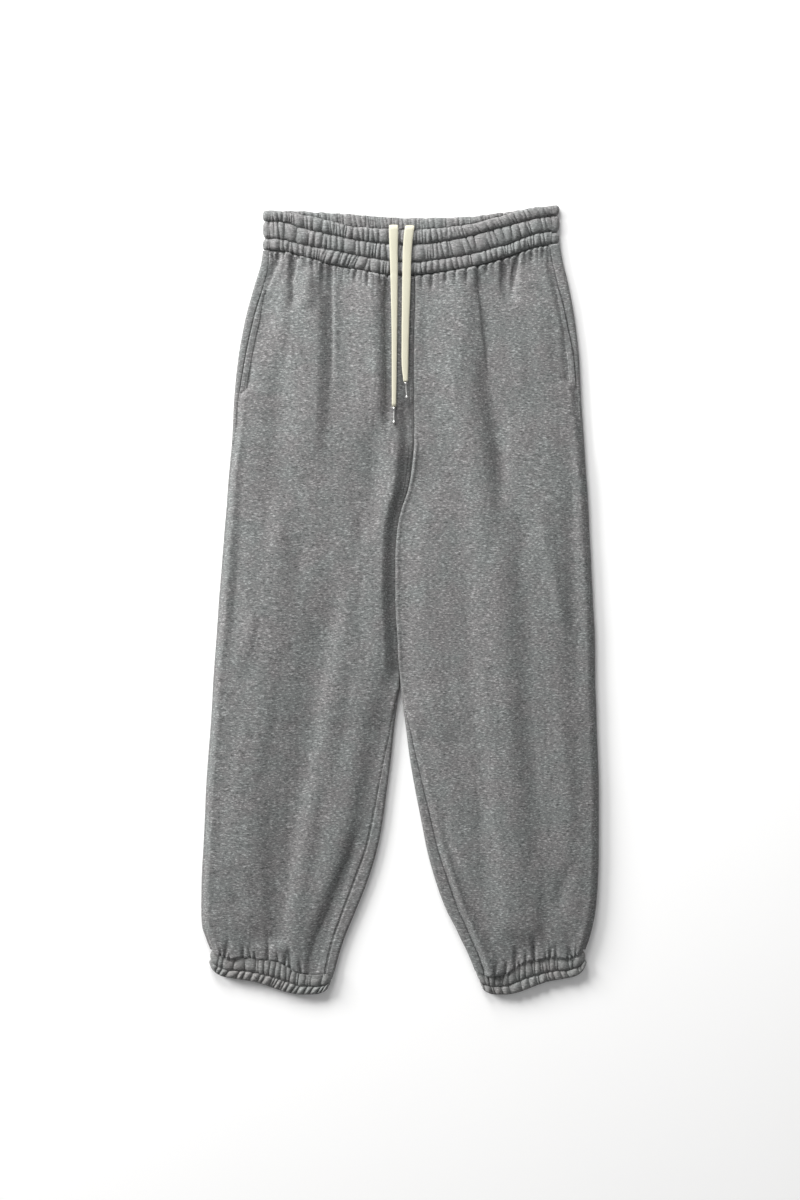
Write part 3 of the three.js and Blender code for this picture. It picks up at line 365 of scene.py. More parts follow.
def bend_point(end, t):
    """How far along and down a bend has gone at t of its length."""
    safe = np.maximum(end["down"], FLAT_ENOUGH)
    radius = end["length"] / safe
    flat = end["down"] <= FLAT_ENOUGH
    return (np.where(flat, end["length"] * t, radius * np.sin(end["down"] * t)),
            np.where(flat, 0, radius * (1 - np.cos(end["down"] * t))))


def front_end(roll, edge_x, inward, down):
    e, z = roll_point(roll, 1, 1)
    end = {"down": down, "length": OUTER_ROLL * np.pi / 2}
    reach, drop = bend_point(end, 1)
    seam_x = edge_x + inward * (roll_reach(roll) - e + SEAM_GAP * np.cos(down))
    return {**end, "x": seam_x + inward * reach, "z": z + SEAM_GAP * np.sin(down) + drop}


def front_ends(side, y):
    s = SIDES[side]
    out = outer_roll(side, y)
    a = front_end(out, s["outer"](y), -s["sign"], np.pi - out["bend"])
    turn = centre_turn(y, PARTING_Y - CROTCH_Y)
    inn = roll_up(s["roll"], inseam_at(y), np.ones_like(y))
    down = np.where(turn < 1, np.pi / 2 * turn, np.pi - inn["bend"])
    b = front_end(inn, s["inner"](y) + s["sign"] * CENTRE_GAP, s["sign"], down)
    b["x"] = np.where(turn < 1, s["inner"](y) + s["sign"] * (CENTRE_GAP + bend_point(b, 1)[0]), b["x"])
    b["z"] = np.where(turn < 1, mix(centre_at(y), b["z"], turn), b["z"])
    return a, b, turn


def front_section(side, across, y):
    s = SIDES[side]
    across, y = np.broadcast_arrays(np.asarray(across, float), np.asarray(y, float))
    a, b, turn = front_ends(side, y)
    u = unit(across)
    x = mix(a["x"], b["x"], u)
    from_outer, from_inner = np.abs(x - a["x"]), np.abs(b["x"] - x)
    closed = mix(1.0, ease(from_inner / 34), turn)
    rise = crown_at(y) * ease(from_outer / 40) * closed
    folds = fold_height(x, y, FOLDS) + fold_height(x, y, WRINKLES)
    folds = folds * ease(from_outer / 14) * mix(1.0, ease(from_inner / 14), turn)
    z = mix(a["z"], b["z"], ease(u)) + rise + folds
    e0, d0 = bend_point(a, unit(-across))
    e1, d1 = bend_point(b, unit(across - 1))
    x = stretches(across, x + s["sign"] * e0, x, x - s["sign"] * e1)
    return x, stretches(across, z - d0, z, z - d1)


def cuff_line(side, x):
    outer, inner = CUFF_SIDE[side]["outer"](0), CUFF_SIDE[side]["inner"](0)
    return leg_end((x - outer) / (inner - outer))


def level_at(side, panel, across, down):
    section_of = back_section if panel == "back" else front_section
    seam = back_band_at["seam"] if panel == "back" else band_at["seam"]
    top, end = np.full(across.shape, 430.0), np.full(across.shape, -457.0)
    for _ in range(3):
        top = seam(section_of(side, across, top)[0])
        end = cuff_line(side, section_of(side, across, end)[0])
    return np.where(down < 1, mix(top - WAIST_GAP, CROTCH_Y, down), mix(CROTCH_Y, end + CUFF_GAP, down - 1))


# Meshes
SCENE = bpy.context.scene


def add_object(name, data):
    obj = bpy.data.objects.new(name, data)
    SCENE.collection.objects.link(obj)
    return obj


def surface_normals(grid, flip):
    u = np.gradient(grid, axis=1)
    v = np.gradient(grid, axis=0)
    n = np.cross(u, v) * flip
    return n / np.maximum(np.linalg.norm(n, axis=2, keepdims=True), 1e-9)


def zip_rows(a, b, ta, tb, faces):
    i = j = 0
    while i < len(a) - 1 or j < len(b) - 1:
        next_a = ta[i + 1] if i < len(a) - 1 else math.inf
        next_b = tb[j + 1] if j < len(b) - 1 else math.inf
        if next_a <= next_b:
            faces.append((a[i], b[j], a[i + 1]))
            i += 1
        else:
            faces.append((a[i], b[j], b[j + 1]))
            j += 1


def new_object(name, points, quads, tris, material, flip):
    mesh = bpy.data.meshes.new(name)
    quads = np.asarray(quads, dtype=np.int64).reshape(-1, 4)
    tris = np.asarray(tris, dtype=np.int64).reshape(-1, 3)
    if flip:
        quads, tris = quads[:, ::-1], tris[:, ::-1]
    loops = np.concatenate([quads.ravel(), tris.ravel()])
    count = len(quads) + len(tris)
    starts = np.concatenate([np.arange(len(quads)) * 4, len(quads) * 4 + np.arange(len(tris)) * 3])
    mesh.vertices.add(len(points))
    mesh.vertices.foreach_set("co", (np.asarray(points) * MM).astype(np.float32).ravel())
    mesh.loops.add(len(loops))
    mesh.loops.foreach_set("vertex_index", loops.astype(np.int32))
    mesh.polygons.add(count)
    mesh.polygons.foreach_set("loop_start", starts.astype(np.int32))
    mesh.polygons.foreach_set("use_smooth", np.ones(count, dtype=bool))
    mesh.update(calc_edges=True)
    mesh.validate()
    mesh.materials.append(material)
    return add_object(name, mesh)


def cells(ids, turned):
    """The four corners of each cell of a grid of vertex numbers, turned over for a face that looks inward."""
    corners = [ids[:-1, :-1], ids[1:, :-1], ids[1:, 1:], ids[:-1, 1:]]
    if turned:
        corners = [corners[k] for k in (0, 3, 2, 1)]
    return np.stack(corners, axis=-1).reshape(-1, 4)


def wall_object(name, outer, inner, keep, material, flip, closed=False):
    """A closed wall from a fine outer grid and an inner grid that keeps only every few rows and columns.

    Where it is closed, the grids are rings, and the last point of each lies next to its first.
    """
    rows, cols = outer.shape[:2]
    pick_r = sorted(set(range(0, rows, keep)) | {rows - 1})
    pick_c = list(range(0, cols, keep)) if closed else sorted(set(range(0, cols, keep)) | {cols - 1})
    ids = np.arange(rows * cols).reshape(rows, cols)
    jds = rows * cols + np.arange(len(pick_r) * len(pick_c)).reshape(len(pick_r), len(pick_c))
    points = np.concatenate([outer.reshape(-1, 3), inner[np.ix_(pick_r, pick_c)].reshape(-1, 3)])
    all_r, all_c = list(range(rows)), list(range(cols + closed))
    if closed:
        ids, jds = (np.concatenate([grid, grid[:, :1]], axis=1) for grid in (ids, jds))
        pick_c.append(cols)
    tris = []
    zip_rows(jds[0], ids[0], pick_c, all_c, tris)
    zip_rows(ids[-1], jds[-1], all_c, pick_c, tris)
    if not closed:
        zip_rows(ids[:, 0], jds[:, 0], all_r, pick_r, tris)
        zip_rows(jds[:, -1], ids[:, -1], pick_r, all_r, tris)
    quads = np.concatenate([cells(ids, False), cells(jds, True)])
    return new_object(name, points, quads, tris, material, flip)


# Materials
def start_material(name):
    """A new material, a function that adds a node, and one that sets or links the inputs of a node."""
    mat = bpy.data.materials.new(name)
    mat.use_nodes = True
    tree = mat.node_tree

    def fill(node, inputs):
        for key, value in inputs.items():
            if isinstance(value, bpy.types.NodeSocket):
                tree.links.new(value, node.inputs[key])
            else:
                node.inputs[key].default_value = value
        return node

    def add(kind, inputs, **settings):
        node = tree.nodes.new(f"ShaderNode{kind}")
        for key, value in settings.items():
            setattr(node, key, value)
        return fill(node, inputs)

    coords = add("TexCoord", {}).outputs["Object"]
    return mat, add, lambda inputs: fill(tree.nodes["Principled BSDF"], inputs), coords


def add_ramp(add, fac, stops):
    node = add("ValToRGB", {"Fac": fac})
    points = node.color_ramp.elements
    for point, (place, colour) in zip(points, (stops[0], stops[-1])):
        point.position, point.color = place, (*colour, 1)
    for place, colour in stops[1:-1]:
        points.new(place).color = (*colour, 1)
    return node.outputs["Color"]


def add_mix(add, blend, share, first, second):
    """A colour mix. A mix node's colour sockets share their names with others, so they are given by number."""
    return add("Mix", {0: share, 6: first, 7: second}, data_type="RGBA", blend_type=blend).outputs[2]


def add_bump(add, height, strength, distance):
    return add("Bump", {"Strength": strength, "Distance": distance, "Height": height}).outputs["Normal"]


def cloth_material(name, dark, mid, light, warm=0.0):
    """Melange fleece: short grey fibres of three shades, lying mostly across, with a soft nap."""
    mat, add, shade, coords = start_material(name)

    def noise(scale, stretch, detail, rough, distortion=0.0):
        stretched = add("Mapping", {"Scale": stretch, "Vector": coords}).outputs["Vector"]
        return add("TexNoise", {"Scale": scale, "Detail": detail, "Roughness": rough, "Distortion": distortion,
                                "Vector": stretched}).outputs["Fac"]

    fibre = noise(400.0, (0.62, 1.5, 1.0), 4.0, 0.62, 0.3)
    base = add_ramp(add, fibre, [(0.33, dark), (0.47, mid), (0.54, mid), (0.67, light)])
    fleck = noise(900.0, (0.5, 1.5, 1.0), 2.0, 0.5, 0.5)
    mask = add_ramp(add, fleck, [(0.56, (0, 0, 0)), (0.70, (1, 1, 1))])
    flecked = add_mix(add, "SCREEN", mask, base, (*[c * 0.30 for c in light], 1))
    patch = noise(26.0, (1.0, 1.0, 1.0), 3.0, 0.6)
    cool, hot = (0.965, 1.0, 0.99), (1.0, 0.975 - warm * 0.005, 0.975 - warm * 0.02)
    tint = add_ramp(add, patch, [(0.38, cool), (0.62, hot)])
    tinted = add_mix(add, "MULTIPLY", 1.0, flecked, tint)
    nap = noise(760.0, (0.8, 1.2, 1.0), 3.0, 0.7, 0.4)
    shade({"Base Color": tinted, "Normal": add_bump(add, nap, 0.55, 0.0009), "Roughness": 0.95,
           "Specular IOR Level": 0.15, "Sheen Weight": 0.12, "Sheen Roughness": 0.6})
    return mat


def cord_material():
    """Flat knitted cotton cord: small slanted stitches in cream."""
    mat, add, shade, coords = start_material("cord_cream")
    waves = []
    for angle in (0.62, -0.62):
        turned = add("Mapping", {"Rotation": (0, 0, angle), "Vector": coords}).outputs["Vector"]
        waves.append(add("TexWave", {"Scale": 260.0, "Distortion": 0.6, "Detail": 1.0, "Vector": turned},
                         wave_type="BANDS", bands_direction="Y").outputs["Fac"])
    knit = add("Math", {0: waves[0], 1: waves[1]}, operation="MULTIPLY").outputs["Value"]
    colour = add_ramp(add, knit, [(0.0, (0.46, 0.44, 0.335)), (0.5, (0.605, 0.59, 0.485))])
    shade({"Base Color": colour, "Normal": add_bump(add, knit, 0.5, 0.0004), "Roughness": 0.85, "Sheen Weight": 0.1})
    return mat


def speckled_material(name, scale, dark, light, settings, bump=None):
    """A plain surface whose colour and height vary a little."""
    mat, add, shade, coords = start_material(name)
    speckle = add("TexNoise", {"Scale": scale, "Vector": coords}).outputs["Fac"]
    shade({"Base Color": add_ramp(add, speckle, [(0.0, dark), (1.0, light)]), **settings})
    if bump:
        shade({"Normal": add_bump(add, speckle, *bump)})
    return mat


CLOTH = cloth_material("fleece_melange", (0.062, 0.0627, 0.0627), (0.150, 0.1512, 0.1512), (0.352, 0.3537, 0.3537))
CLOTH_BAND = cloth_material("fleece_band", (0.086, 0.0868, 0.0868), (0.168, 0.169, 0.169), (0.30, 0.3015, 0.3015))
CLOTH_CUFF = cloth_material("fleece_cuff", (0.097, 0.0975, 0.096), (0.184, 0.1847, 0.183), (0.325, 0.326, 0.323), 0.4)
CORD = cord_material()
METAL = speckled_material("aglet_metal", 900.0, (0.40, 0.40, 0.39), (0.58, 0.58, 0.57),
                          {"Metallic": 1.0, "Roughness": 0.36}, (0.2, 0.0002))
THREAD = cloth_material("thread_grey", (0.10, 0.101, 0.101), (0.17, 0.171, 0.171), (0.27, 0.272, 0.272))

# Camera: straight above, framed as an image 800 wide and 1200 high
FRAME_HEIGHT = 1.5204
LENS = 71.0
SENSOR = 36.0
REFERENCE_HEIGHT = 0.005
cam_data = bpy.data.cameras.new("camera")
cam_data.sensor_fit = "VERTICAL"
cam_data.sensor_height = SENSOR
cam_data.lens = LENS
camera = add_object("camera", cam_data)
camera.location = (0.0, -0.0006, REFERENCE_HEIGHT + FRAME_HEIGHT * LENS / SENSOR)
SCENE.camera = camera


# Drawcords
def catmull(points, samples):
    """Centripetal curve through the points, with samples per stretch."""
    def between(t, ta, tb, a, b):
        return (tb - t) / (tb - ta) * a + (t - ta) / (tb - ta) * b

    p = np.array(points, dtype=float)
    ext = np.concatenate([[2 * p[0] - p[1]], p, [2 * p[-1] - p[-2]]])
    out = []
    for four in zip(ext, ext[1:], ext[2:], ext[3:]):
        knots = [0.0, *np.cumsum([max(np.linalg.norm(b - a) ** 0.5, 1e-6) for a, b in zip(four, four[1:])])]
        for t in np.linspace(knots[1], knots[2], samples, endpoint=False):
            level = list(four)
            for reach in (1, 2):
                level = [between(t, knots[k], knots[k + reach], level[k], level[k + 1]) for k in range(4 - reach)]
            out.append(between(t, knots[1], knots[2], *level))
    return np.array([*out, p[-1]])


def drawcord(side, rows):
    route = catmull([r[:3] for r in rows], 10)
    keys = np.linspace(0, 1, len(rows))
    along = np.linspace(0, 1, len(route))
    width = np.interp(along, keys, [r[3] for r in rows])
    step = np.gradient(route, axis=0)
    step /= np.linalg.norm(step, axis=1, keepdims=True)
    count, sides = len(route), 24
    ring = np.linspace(0, 2 * np.pi, sides, endpoint=False)
    cs, sn = np.cos(ring), np.sin(ring)
    u = np.sign(cs) * np.abs(cs) ** 0.55
    v = np.sign(sn) * np.abs(sn) ** 0.8
    pts = []
    for i, p in enumerate(route):
        t = step[i]
        n = np.array([0.0, t[2], -t[1]])
        n /= np.linalg.norm(n)
        if n[2] < 0 and p[2] > 10:
            n = -n
        crease = 0.25 * math.exp(-((p[1] - 413) / 3.0) ** 2) if side == "right" else 0.0
        thick = CORD_THICK / 2 * (1.0 + 0.35 * (1 - width[i] / CORD_WIDTH))
        phase = min(i + 4, count) - max(i - 3, 0)
        edge = 1 + 0.012 * math.sin(i * 0.9) + 0.01 * math.sin(i * 2.3 + phase)
        flat = np.array([1.0, 0.0, 0.0]) * (u * width[i] / 2 * edge)[:, None]
        pts.append(p + flat + n * (v * thick - 0.125 * u ** 2 - crease)[:, None])
    pts = np.array(pts)
    ids = np.arange(count * sides).reshape(count, sides)
    nxt = np.roll(ids, -1, axis=1)
    quads = np.stack([ids[:-1], ids[1:], nxt[1:], nxt[:-1]], axis=-1).reshape(-1, 4)
    tris = []
    for ring_ids, flip in ((ids[0], False), (ids[-1], True)):
        for k in range(1, sides - 1):
            tri = (ring_ids[0], ring_ids[k], ring_ids[k + 1])
            tris.append(tri[::-1] if flip else tri)
    return new_object(f"drawcord_{side}_tape", pts.reshape(-1, 3), quads, tris, CORD, False), route


def aglet(side, rows):
    profile = [
        (0, 0), (1.35, 0.05), (1.75, 0.5), (1.9, 0.9), (1.9, 3.0), (1.7, 3.5), (1.5, 3.9), (1.42, 6), (1.36, 10),
        (1.3, 14), (1.28, 16.6), (1.22, 17.4), (1.6, 17.9), (1.85, 18.6), (1.9, 19.4), (1.8, 20.4), (1.4, 21.3),
        (0.7, 21.85), (0, AGLET_LENGTH),
    ]
    sides = 20
    pts, quads, tris, rings = [], [], [], []
    for r, h in profile:
        turns = 2 * np.pi * np.arange(sides if r else 1) / sides
        crimp = 1 - 0.09 * (4.5 < h < 16.5) * np.abs(np.cos(turns)) ** 3
        rings.append(len(pts) + np.arange(len(turns)))
        pts += [(r * math.cos(a) * k, -h, r * math.sin(a) * k) for a, k in zip(turns, crimp)]
    for a, b in zip(rings, rings[1:]):
        for k in range(sides):
            m = (k + 1) % sides
            if len(a) == 1:
                tris.append((a[0], b[k], b[m]))
            elif len(b) == 1:
                tris.append((a[k], b[0], a[m]))
            else:
                quads.append((a[k], b[k], b[m], a[m]))
    pts = np.array(pts)
    c, s = math.cos(AGLET_TILT[side]), math.sin(AGLET_TILT[side])
    x, y = pts[:, 0] * c - pts[:, 1] * s, pts[:, 0] * s + pts[:, 1] * c
    end_x, end_y, end_z = rows[-1][:3]
    pts = np.stack([x + end_x, y + end_y - AGLET_GAP, pts[:, 2] + end_z], axis=1)
    return new_object(f"aglet_{side}_tip", pts, quads, tris, METAL, False)


def join_frame(obj, slot, *nodes):
    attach(obj, "root")
    if nodes:
        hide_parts(*nodes)


for side, rows in (("right", CORD_RIGHT), ("left", CORD_LEFT)):
    tape, route = drawcord(side, rows)
    tip = aglet(side, rows)
    join_frame(tape, "cord", f"drawcord_{side}")
    join_frame(tip, "metal", f"aglet_{side}")


# Front panels
def lap_dip(q, y, z, inner_end, turn):
    """The right leg's cloth falls away beside the centre, where the left leg laps over it."""
    depth = 6.0 * ease((y + 116) / 46) * mix(1.0, 0.5, ease((y - 100) / 120))
    end_z = inner_end["z"] - bend_point(inner_end, 1)[1]
    height = np.maximum(inner_end["z"] - end_z, 0.5)
    depth = np.minimum(depth, mix(height * 0.92, 6.0, unit(1 - turn)))
    x0 = front_section("right", np.full_like(q, 1.0), y)[0]
    away = np.abs(front_section("right", q, y)[0] - x0)
    fuller = 7.6 * ease(away / 15) * (1 - ease(away / 44)) * ease((y + 116) / 60) * ease((240 - y) / 110)
    flat = fuller - depth * hill(away, 8.5, 2.4)
    rolled = -depth * (z - end_z) / height
    open_edge = unit(1 - turn)
    return np.where(q > 1, mix(rolled, -depth, open_edge), flat)


def pleat_sum(x, y, sharp=1.7):
    """Pleats with one steep side, sharp millimetres wide, and a small raised lip along it."""
    total = np.zeros_like(x)
    for x0, y0, x1, y1, depth, wide, side, fade in PLEATS:
        dx, dy = x1 - x0, y1 - y0
        t = ((x - x0) * dx + (y - y0) * dy) / (dx * dx + dy * dy)
        u = (x - x0 - dx * t) * side
        flank = np.where(u > 0, hill(np.abs(u), wide, 1.5), hill(u, sharp))
        total += depth * (0.32 * hill(u + 5.0, 3.6) - flank) * ease((t + 0.35) / 0.25) * ease((1.05 - t) / fade)
    return total


def swell_sum(x, y):
    """Long rounded swells and furrows, with a flank of its own reach on each side of the line."""
    total = np.zeros_like(x)
    for line, height, (low, high), (start, end) in SWELLS:
        u = x - curve(["y", "x"], line, "y", "x")(y)
        shape = np.where(u < 0, ease(1 + u / low), ease(1 - u / high))
        total += height * shape * ease((line[0][0] - y) / start) * ease((y - line[-1][0]) / end)
    return total


def crease_sum(x, distance, table, spread, grow, strength):
    """Creases that run down from a gathered seam: narrow and deep at the seam, wider and softer away from it."""
    total = np.zeros_like(x)
    for at, length, depth, lean in table:
        d = (x - (at + lean * distance)) / (spread + grow * distance)
        total -= strength * depth * hill(np.abs(d), 1, 1.7) * (1 - ease(distance / length))
    return total


def panel_down():
    hip = np.concatenate([np.arange(0, 8, 0.62), np.arange(8, 50, 1.5), np.linspace(50, 330, 84)]) / 330
    end = np.concatenate([np.arange(0, 7, 0.62), np.arange(7, 46, 1.5), np.linspace(46, 552, 150)]) / 552
    return np.concatenate([hip, 2 - end[::-1][1:]])


def bump_profile(x, slits):
    """1 on the middle of each bump of cloth between two slits, 0 in the slits."""
    places = np.array(slits, dtype=float)
    i = np.clip(np.searchsorted(places, x) - 1, 0, len(places) - 2)
    u = unit((x - places[i]) / (places[i + 1] - places[i]))
    return np.sin(np.pi * u) ** 0.6


def gathered_edge(distance, bump, fullness, drop):
    """Cloth that rounds over into its seam in bumps, lower and further back at each slit."""
    reach = drop * (0.16 + 0.85 * (1 - bump) ** 1.3)
    edge = ease((distance - reach) / 3.0)
    return -drop * (1 - edge) + fullness * (0.3 + 0.7 * bump) * np.exp(-distance / 11) * edge


def seam_relief(y, from_side, from_centre, pocket):
    """The grooves and puckers of the side seam and the inseam."""
    pucker = 0.22 * np.sin(y / 1.15 + 2.0 * smooth_noise(y, y * 0, 9.0, 3)) * smooth_noise(y * 0, y, 14.0, 4)
    grooves = ((from_side, 0.45 + 0.55 * pocket), (from_centre, 1 + 1.1 * ease((-230 - y) / 120)))
    return [pucker * np.exp(-dist / 5) - 0.9 * strong * hill(dist, 1.1 + 0.3 * strong) for dist, strong in grooves]


def edge_relief(side, y, from_side, from_centre, pocket):
    """How full the cloth stands beside its seams: each term is a height where it stands, times where it runs."""
    low_leg = ease((-290 - y) / 80)
    full = {"right": 4.2, "left": 3.0}[side] * ease((370 - y) / 100) * (1 - 0.5 * pocket)
    terms = [full * (ease((from_side - 8.6 * pocket) / 9) - ease(from_side / 52)),
             -1.8 * pocket * hill(from_side, 1.5)]
    if side == "right":
        return [-3.6 * hill(from_centre - 18, 9) * low_leg] + terms
    crisp = ease((y + 116) / 40) * ease((230 - y) / 60)
    return [crisp * (1.7 * hill(from_centre - 3.1, 2.2) + 0.6 * hill(from_centre, 12)),
            2.6 * (ease(from_centre / 9) - ease(from_centre / 46)) * ease((-110 - y) / 40),
            5.2 * (ease(from_centre / 8) - ease((from_centre - 6) / 19)) * low_leg] + terms


def front_panel(side):
    sign = SIDES[side]["sign"]
    q, d = np.meshgrid(spans((-1, 0, 9), (0, 1, 232), (1, 2, 11)), panel_down())
    y = level_at(side, "front", q, d)
    x, z = front_section(side, q, y)
    a, b, turn = front_ends(side, y)
    if side == "right":
        z = z + lap_dip(q, y, z, b, turn)
    pocket = ease((y - HEM_END_Y[side]) / 6) * ease((HEM_TOP_Y[side] - y) / 6)
    x[:, 0] += sign * 0.3 * (1 - pocket[:, 0])
    grid = np.stack([x, y, z], axis=-1)
    n = surface_normals(grid, sign)
    from_top = np.maximum(band_at["seam"](x) - y, 0)
    from_end = np.maximum(y - cuff_line(side, x), 0)
    from_side = np.where(q < 0, (q + 1) * a["length"], a["length"] + np.abs(x - a["x"]))
    from_centre = np.where(q > 1, (2 - q) * b["length"], b["length"] + np.abs(b["x"] - x))
    inside = ease((from_side - 2) / 10) * mix(1.0, ease((from_centre - 2) / 10), turn)
    outer0, inner0 = CUFF_SIDE[side]["outer"](0), CUFF_SIDE[side]["inner"](0)
    gathers = [[outer0 + (inner0 - outer0) * at, length, depth, lean * -sign]
               for at, length, depth, lean in CUFF_GATHERS]
    cuff_slits = [min(outer0, inner0) - 20, *sorted(row[0] for row in gathers), max(outer0, inner0) + 20]
    near_side = ease(np.minimum(from_side, from_centre) / 14)
    beside = (y, from_side, from_centre, pocket)
    relief = crease_sum(x, from_top, WAIST_GATHERS, 1.2, 0.11, 3.6)
    for term in (
            gathered_edge(from_top, bump_profile(x, SEAM_SLITS), 3.4, 4.2), pleat_sum(x, y), swell_sum(x, y) * inside,
            crease_sum(x, from_end, gathers, 1.3, 0.12, 3.4),
            gathered_edge(from_end, bump_profile(x, cuff_slits), 1.4, 0.9) * near_side,
            *seam_relief(*beside), *edge_relief(side, *beside),
            0.30 * smooth_noise(x, y * 0.6, 17.0, 11), 0.16 * smooth_noise(x, y * 0.8, 7.0, 12)):
        relief = relief + term
    relief = np.maximum(relief, -np.clip(z - 5.2, 1.5, 8))
    relief = relief * ease(np.minimum(np.minimum(from_side, from_centre), 6) / 2 + 0.4)
    outer = grid + n * relief[..., None]
    thin = (relief < -(WALL - THINNEST))[..., None]
    inner = np.where(thin, outer - n * THINNEST, grid - n * WALL)
    return wall_object(f"front_{side}_cloth", outer, inner, 4, CLOTH, sign > 0), outer, q


# Back panels
def back_panel(side):
    s = SIDES[side]
    q, d = np.meshgrid(spans((-2, -1, 5), (-1, 0, 13), (0, 1, 56), (1, 2, 13), (2, 3, 7)),
                       spans((0, 0.12, 20), (0.12, 1, 70), (1, 1.92, 110), (1.92, 2, 24)))
    y = level_at(side, "back", q, d)
    x, z = back_section(side, q, y)
    grid = np.stack([x, y, z], axis=-1)
    n = surface_normals(grid, -s["sign"])
    inner = grid - n * WALL
    flat = ease(np.minimum(q, 1 - q) / 0.12)
    press = fold_height(x, y, UNDER) * flat
    end = cuff_line(side, x)
    edge = 0.9 * np.exp(-np.abs(y - end) / 4) + 0.9 * np.exp(-np.abs(back_band_at["seam"](x) - y) / 4)
    ripple = 0.10 * (1 + smooth_noise(x, y, 12.0, 21))
    ripple += 0.9 * np.abs(np.sin(x / 4.6)) ** 3 * np.exp(-np.abs(y - end) / 14) * flat
    tail = np.maximum(np.where(q < -1, -1 - q, 0), np.where(q > 2, q - 2, 0))
    relief = press + np.minimum(edge, 0.9) * flat + ripple * flat + 0.5 * (tail > 0.9)
    outer = grid - n * relief[..., None]
    inner = inner - n * relief[..., None] * 0.5
    return wall_object(f"back_{side}_cloth", outer, inner, 3, CLOTH, s["sign"] < 0)


# Waistband
BAND_SIDE = {"right": {"edge": -173.2, "seam": 6.0}, "left": {"edge": 201.0, "seam": 9.0}}
BAND_END = {}
for side, inward in (("right", 1), ("left", -1)):
    roll = roll_up(OUTER_ROLL, np.array(BAND_SIDE[side]["seam"]), np.array(1.0))
    BAND_END[side] = {"roll": roll, **front_end(roll, BAND_SIDE[side]["edge"], inward, np.pi - roll["bend"])}


def gather_line(start, end, pitch, seed):
    """Uneven places of the creases along a gathered channel, each with its own depth and lean."""
    rng = np.random.default_rng(seed)
    places = [start]
    while places[-1] < end:
        places.append(places[-1] + pitch * rng.choice([0.45, 0.75, 1.0, 1.3, 2.0], p=[0.22, 0.24, 0.24, 0.2, 0.1]))
    places = np.array(places)
    count = len(places)
    return places, rng.uniform(0.25, 1.0, count), rng.uniform(-0.16, 0.16, count), rng.uniform(-1.1, 1.1, count)


def pillows(x, t, line, lean_all=0.0, half=8.0):
    """Height of soft rounded gathers between sharp creases. t is the distance down from the middle of the channel."""
    places, depth, lean, bias = line
    shifted = x - lean_all * t
    i = np.clip(np.searchsorted(places, shifted) - 1, 0, len(places) - 2)
    a, b = (places[k] + lean[k] * t for k in (i, i + 1))
    u = unit((shifted - a) / np.maximum(b - a, 0.5))
    round_top = np.sin(np.pi * u) ** 0.38 * np.clip((b - a) / 6.0, 0.75, 1.1)
    cut_a, cut_b = (unit(depth[k] * (1 + bias[k] * t / half)) for k in (i, i + 1))
    return np.maximum(round_top, 0.9 * mix(1 - cut_a, 1 - cut_b, u))


def band_surface(across, row):
    x0 = BAND_END["right"]["x"] - BAND_END["right"]["length"]
    x1 = BAND_END["left"]["x"] + BAND_END["left"]["length"]
    x = mix(x0, x1, across)
    from_end = np.minimum(x - x0, x1 - x)
    lines = [band_at[name](x) for name in BAND_COLUMNS[1:]]
    channel = np.clip(np.floor(row), 0, 2)
    y = np.select([channel == k for k in range(3)], [mix(lines[k], lines[k + 1], row - channel) for k in range(3)])
    base = mix(BAND_END["right"]["z"], BAND_END["left"]["z"], across)
    return np.stack([x, y, base + 2.0 * ease(from_end / 12) + 1.4 * ease(from_end / 90)], axis=-1)


BAND_ENDS = (-176, 206)
CHANNELS = [gather_line(*BAND_ENDS, pitch, seed) for pitch, seed in ((6.2, 31), (7.6, 32), (6.4, 33))]
CHANNEL_MM = [18.5, 21.5, 16.5]


def channel_lean(x, channel):
    """Slant of the gathers along each channel, in millimetres across for each millimetre down."""
    if channel == 0:
        return 0.42 * ease((x - 40) / 60)
    if channel == 1:
        return 0.30 * ease((x - 10) / 60)
    return 0.12 * ease((x - 10) / 60) - 0.38 * ease((x + 120) / 25) * ease((-28 - x) / 20)


def tube(t, bump, narrow=0.085):
    """Round section of a channel, a little narrower at each slit, so that its edges are scalloped."""
    half = 0.485 - narrow * (1 - bump)
    return np.sqrt(unit(1 - np.abs((t - 0.5) / half) ** 2.3))


CHANNEL_SINK = 3.6


def channel_relief(x, row, full=5.4, gather=4.2):
    """Height of the gathered rows of the waistband: low along their stitches and in their slits."""
    channel = np.clip(np.floor(row), 0, 2).astype(int)
    t = row - channel
    pill = np.select([channel == k for k in range(3)],
                     [pillows(x, (t - 0.5) * CHANNEL_MM[k], CHANNELS[k], channel_lean(x, k)) for k in range(3)])
    arch = tube(t, unit(pill))
    fine = 0.16 * smooth_noise(x - 0.2 * row * 18, row * 5.0, 1.7, 44) + 0.12 * smooth_noise(x, row * 14.0, 3.4, 45)
    return -CHANNEL_SINK + full * arch + fine * arch - gather * (1 - pill) * (0.25 + 0.75 * arch)


def waistband_front():
    ring = 0.5 - 0.5 * np.cos(np.pi * np.linspace(0, 1, 23))
    q, r = np.meshgrid(np.linspace(0, 1, 640), np.concatenate([ring[:-1], 1 + ring[:-1], 2 + ring]))
    grid = band_surface(q, r)
    x = grid[..., 0]
    inward = ease(np.minimum(x - x[0, 0], x[0, -1] - x) / 12)
    sway = 0.7 * smooth_noise(x, x * 0, 6.0, 41) * np.exp(-r * 4)
    sag = 0.5 * smooth_noise(x, x * 0, 11.0, 42)
    grid[..., 1] += sway + sag * (r > 0.02) * np.sin(np.pi * r / 3)
    outer, inner = grid.copy(), grid
    outer[..., 2] += mix(channel_relief(x, r, 4.4, 0.7) + 0.6, channel_relief(x, r), inward)
    inner[..., 2] = np.minimum(inner[..., 2] - BAND_WALL - 1.4, outer[..., 2] - THINNEST)
    return wall_object("waistband_front_cloth", outer, inner, 5, CLOTH_BAND, False), outer, r


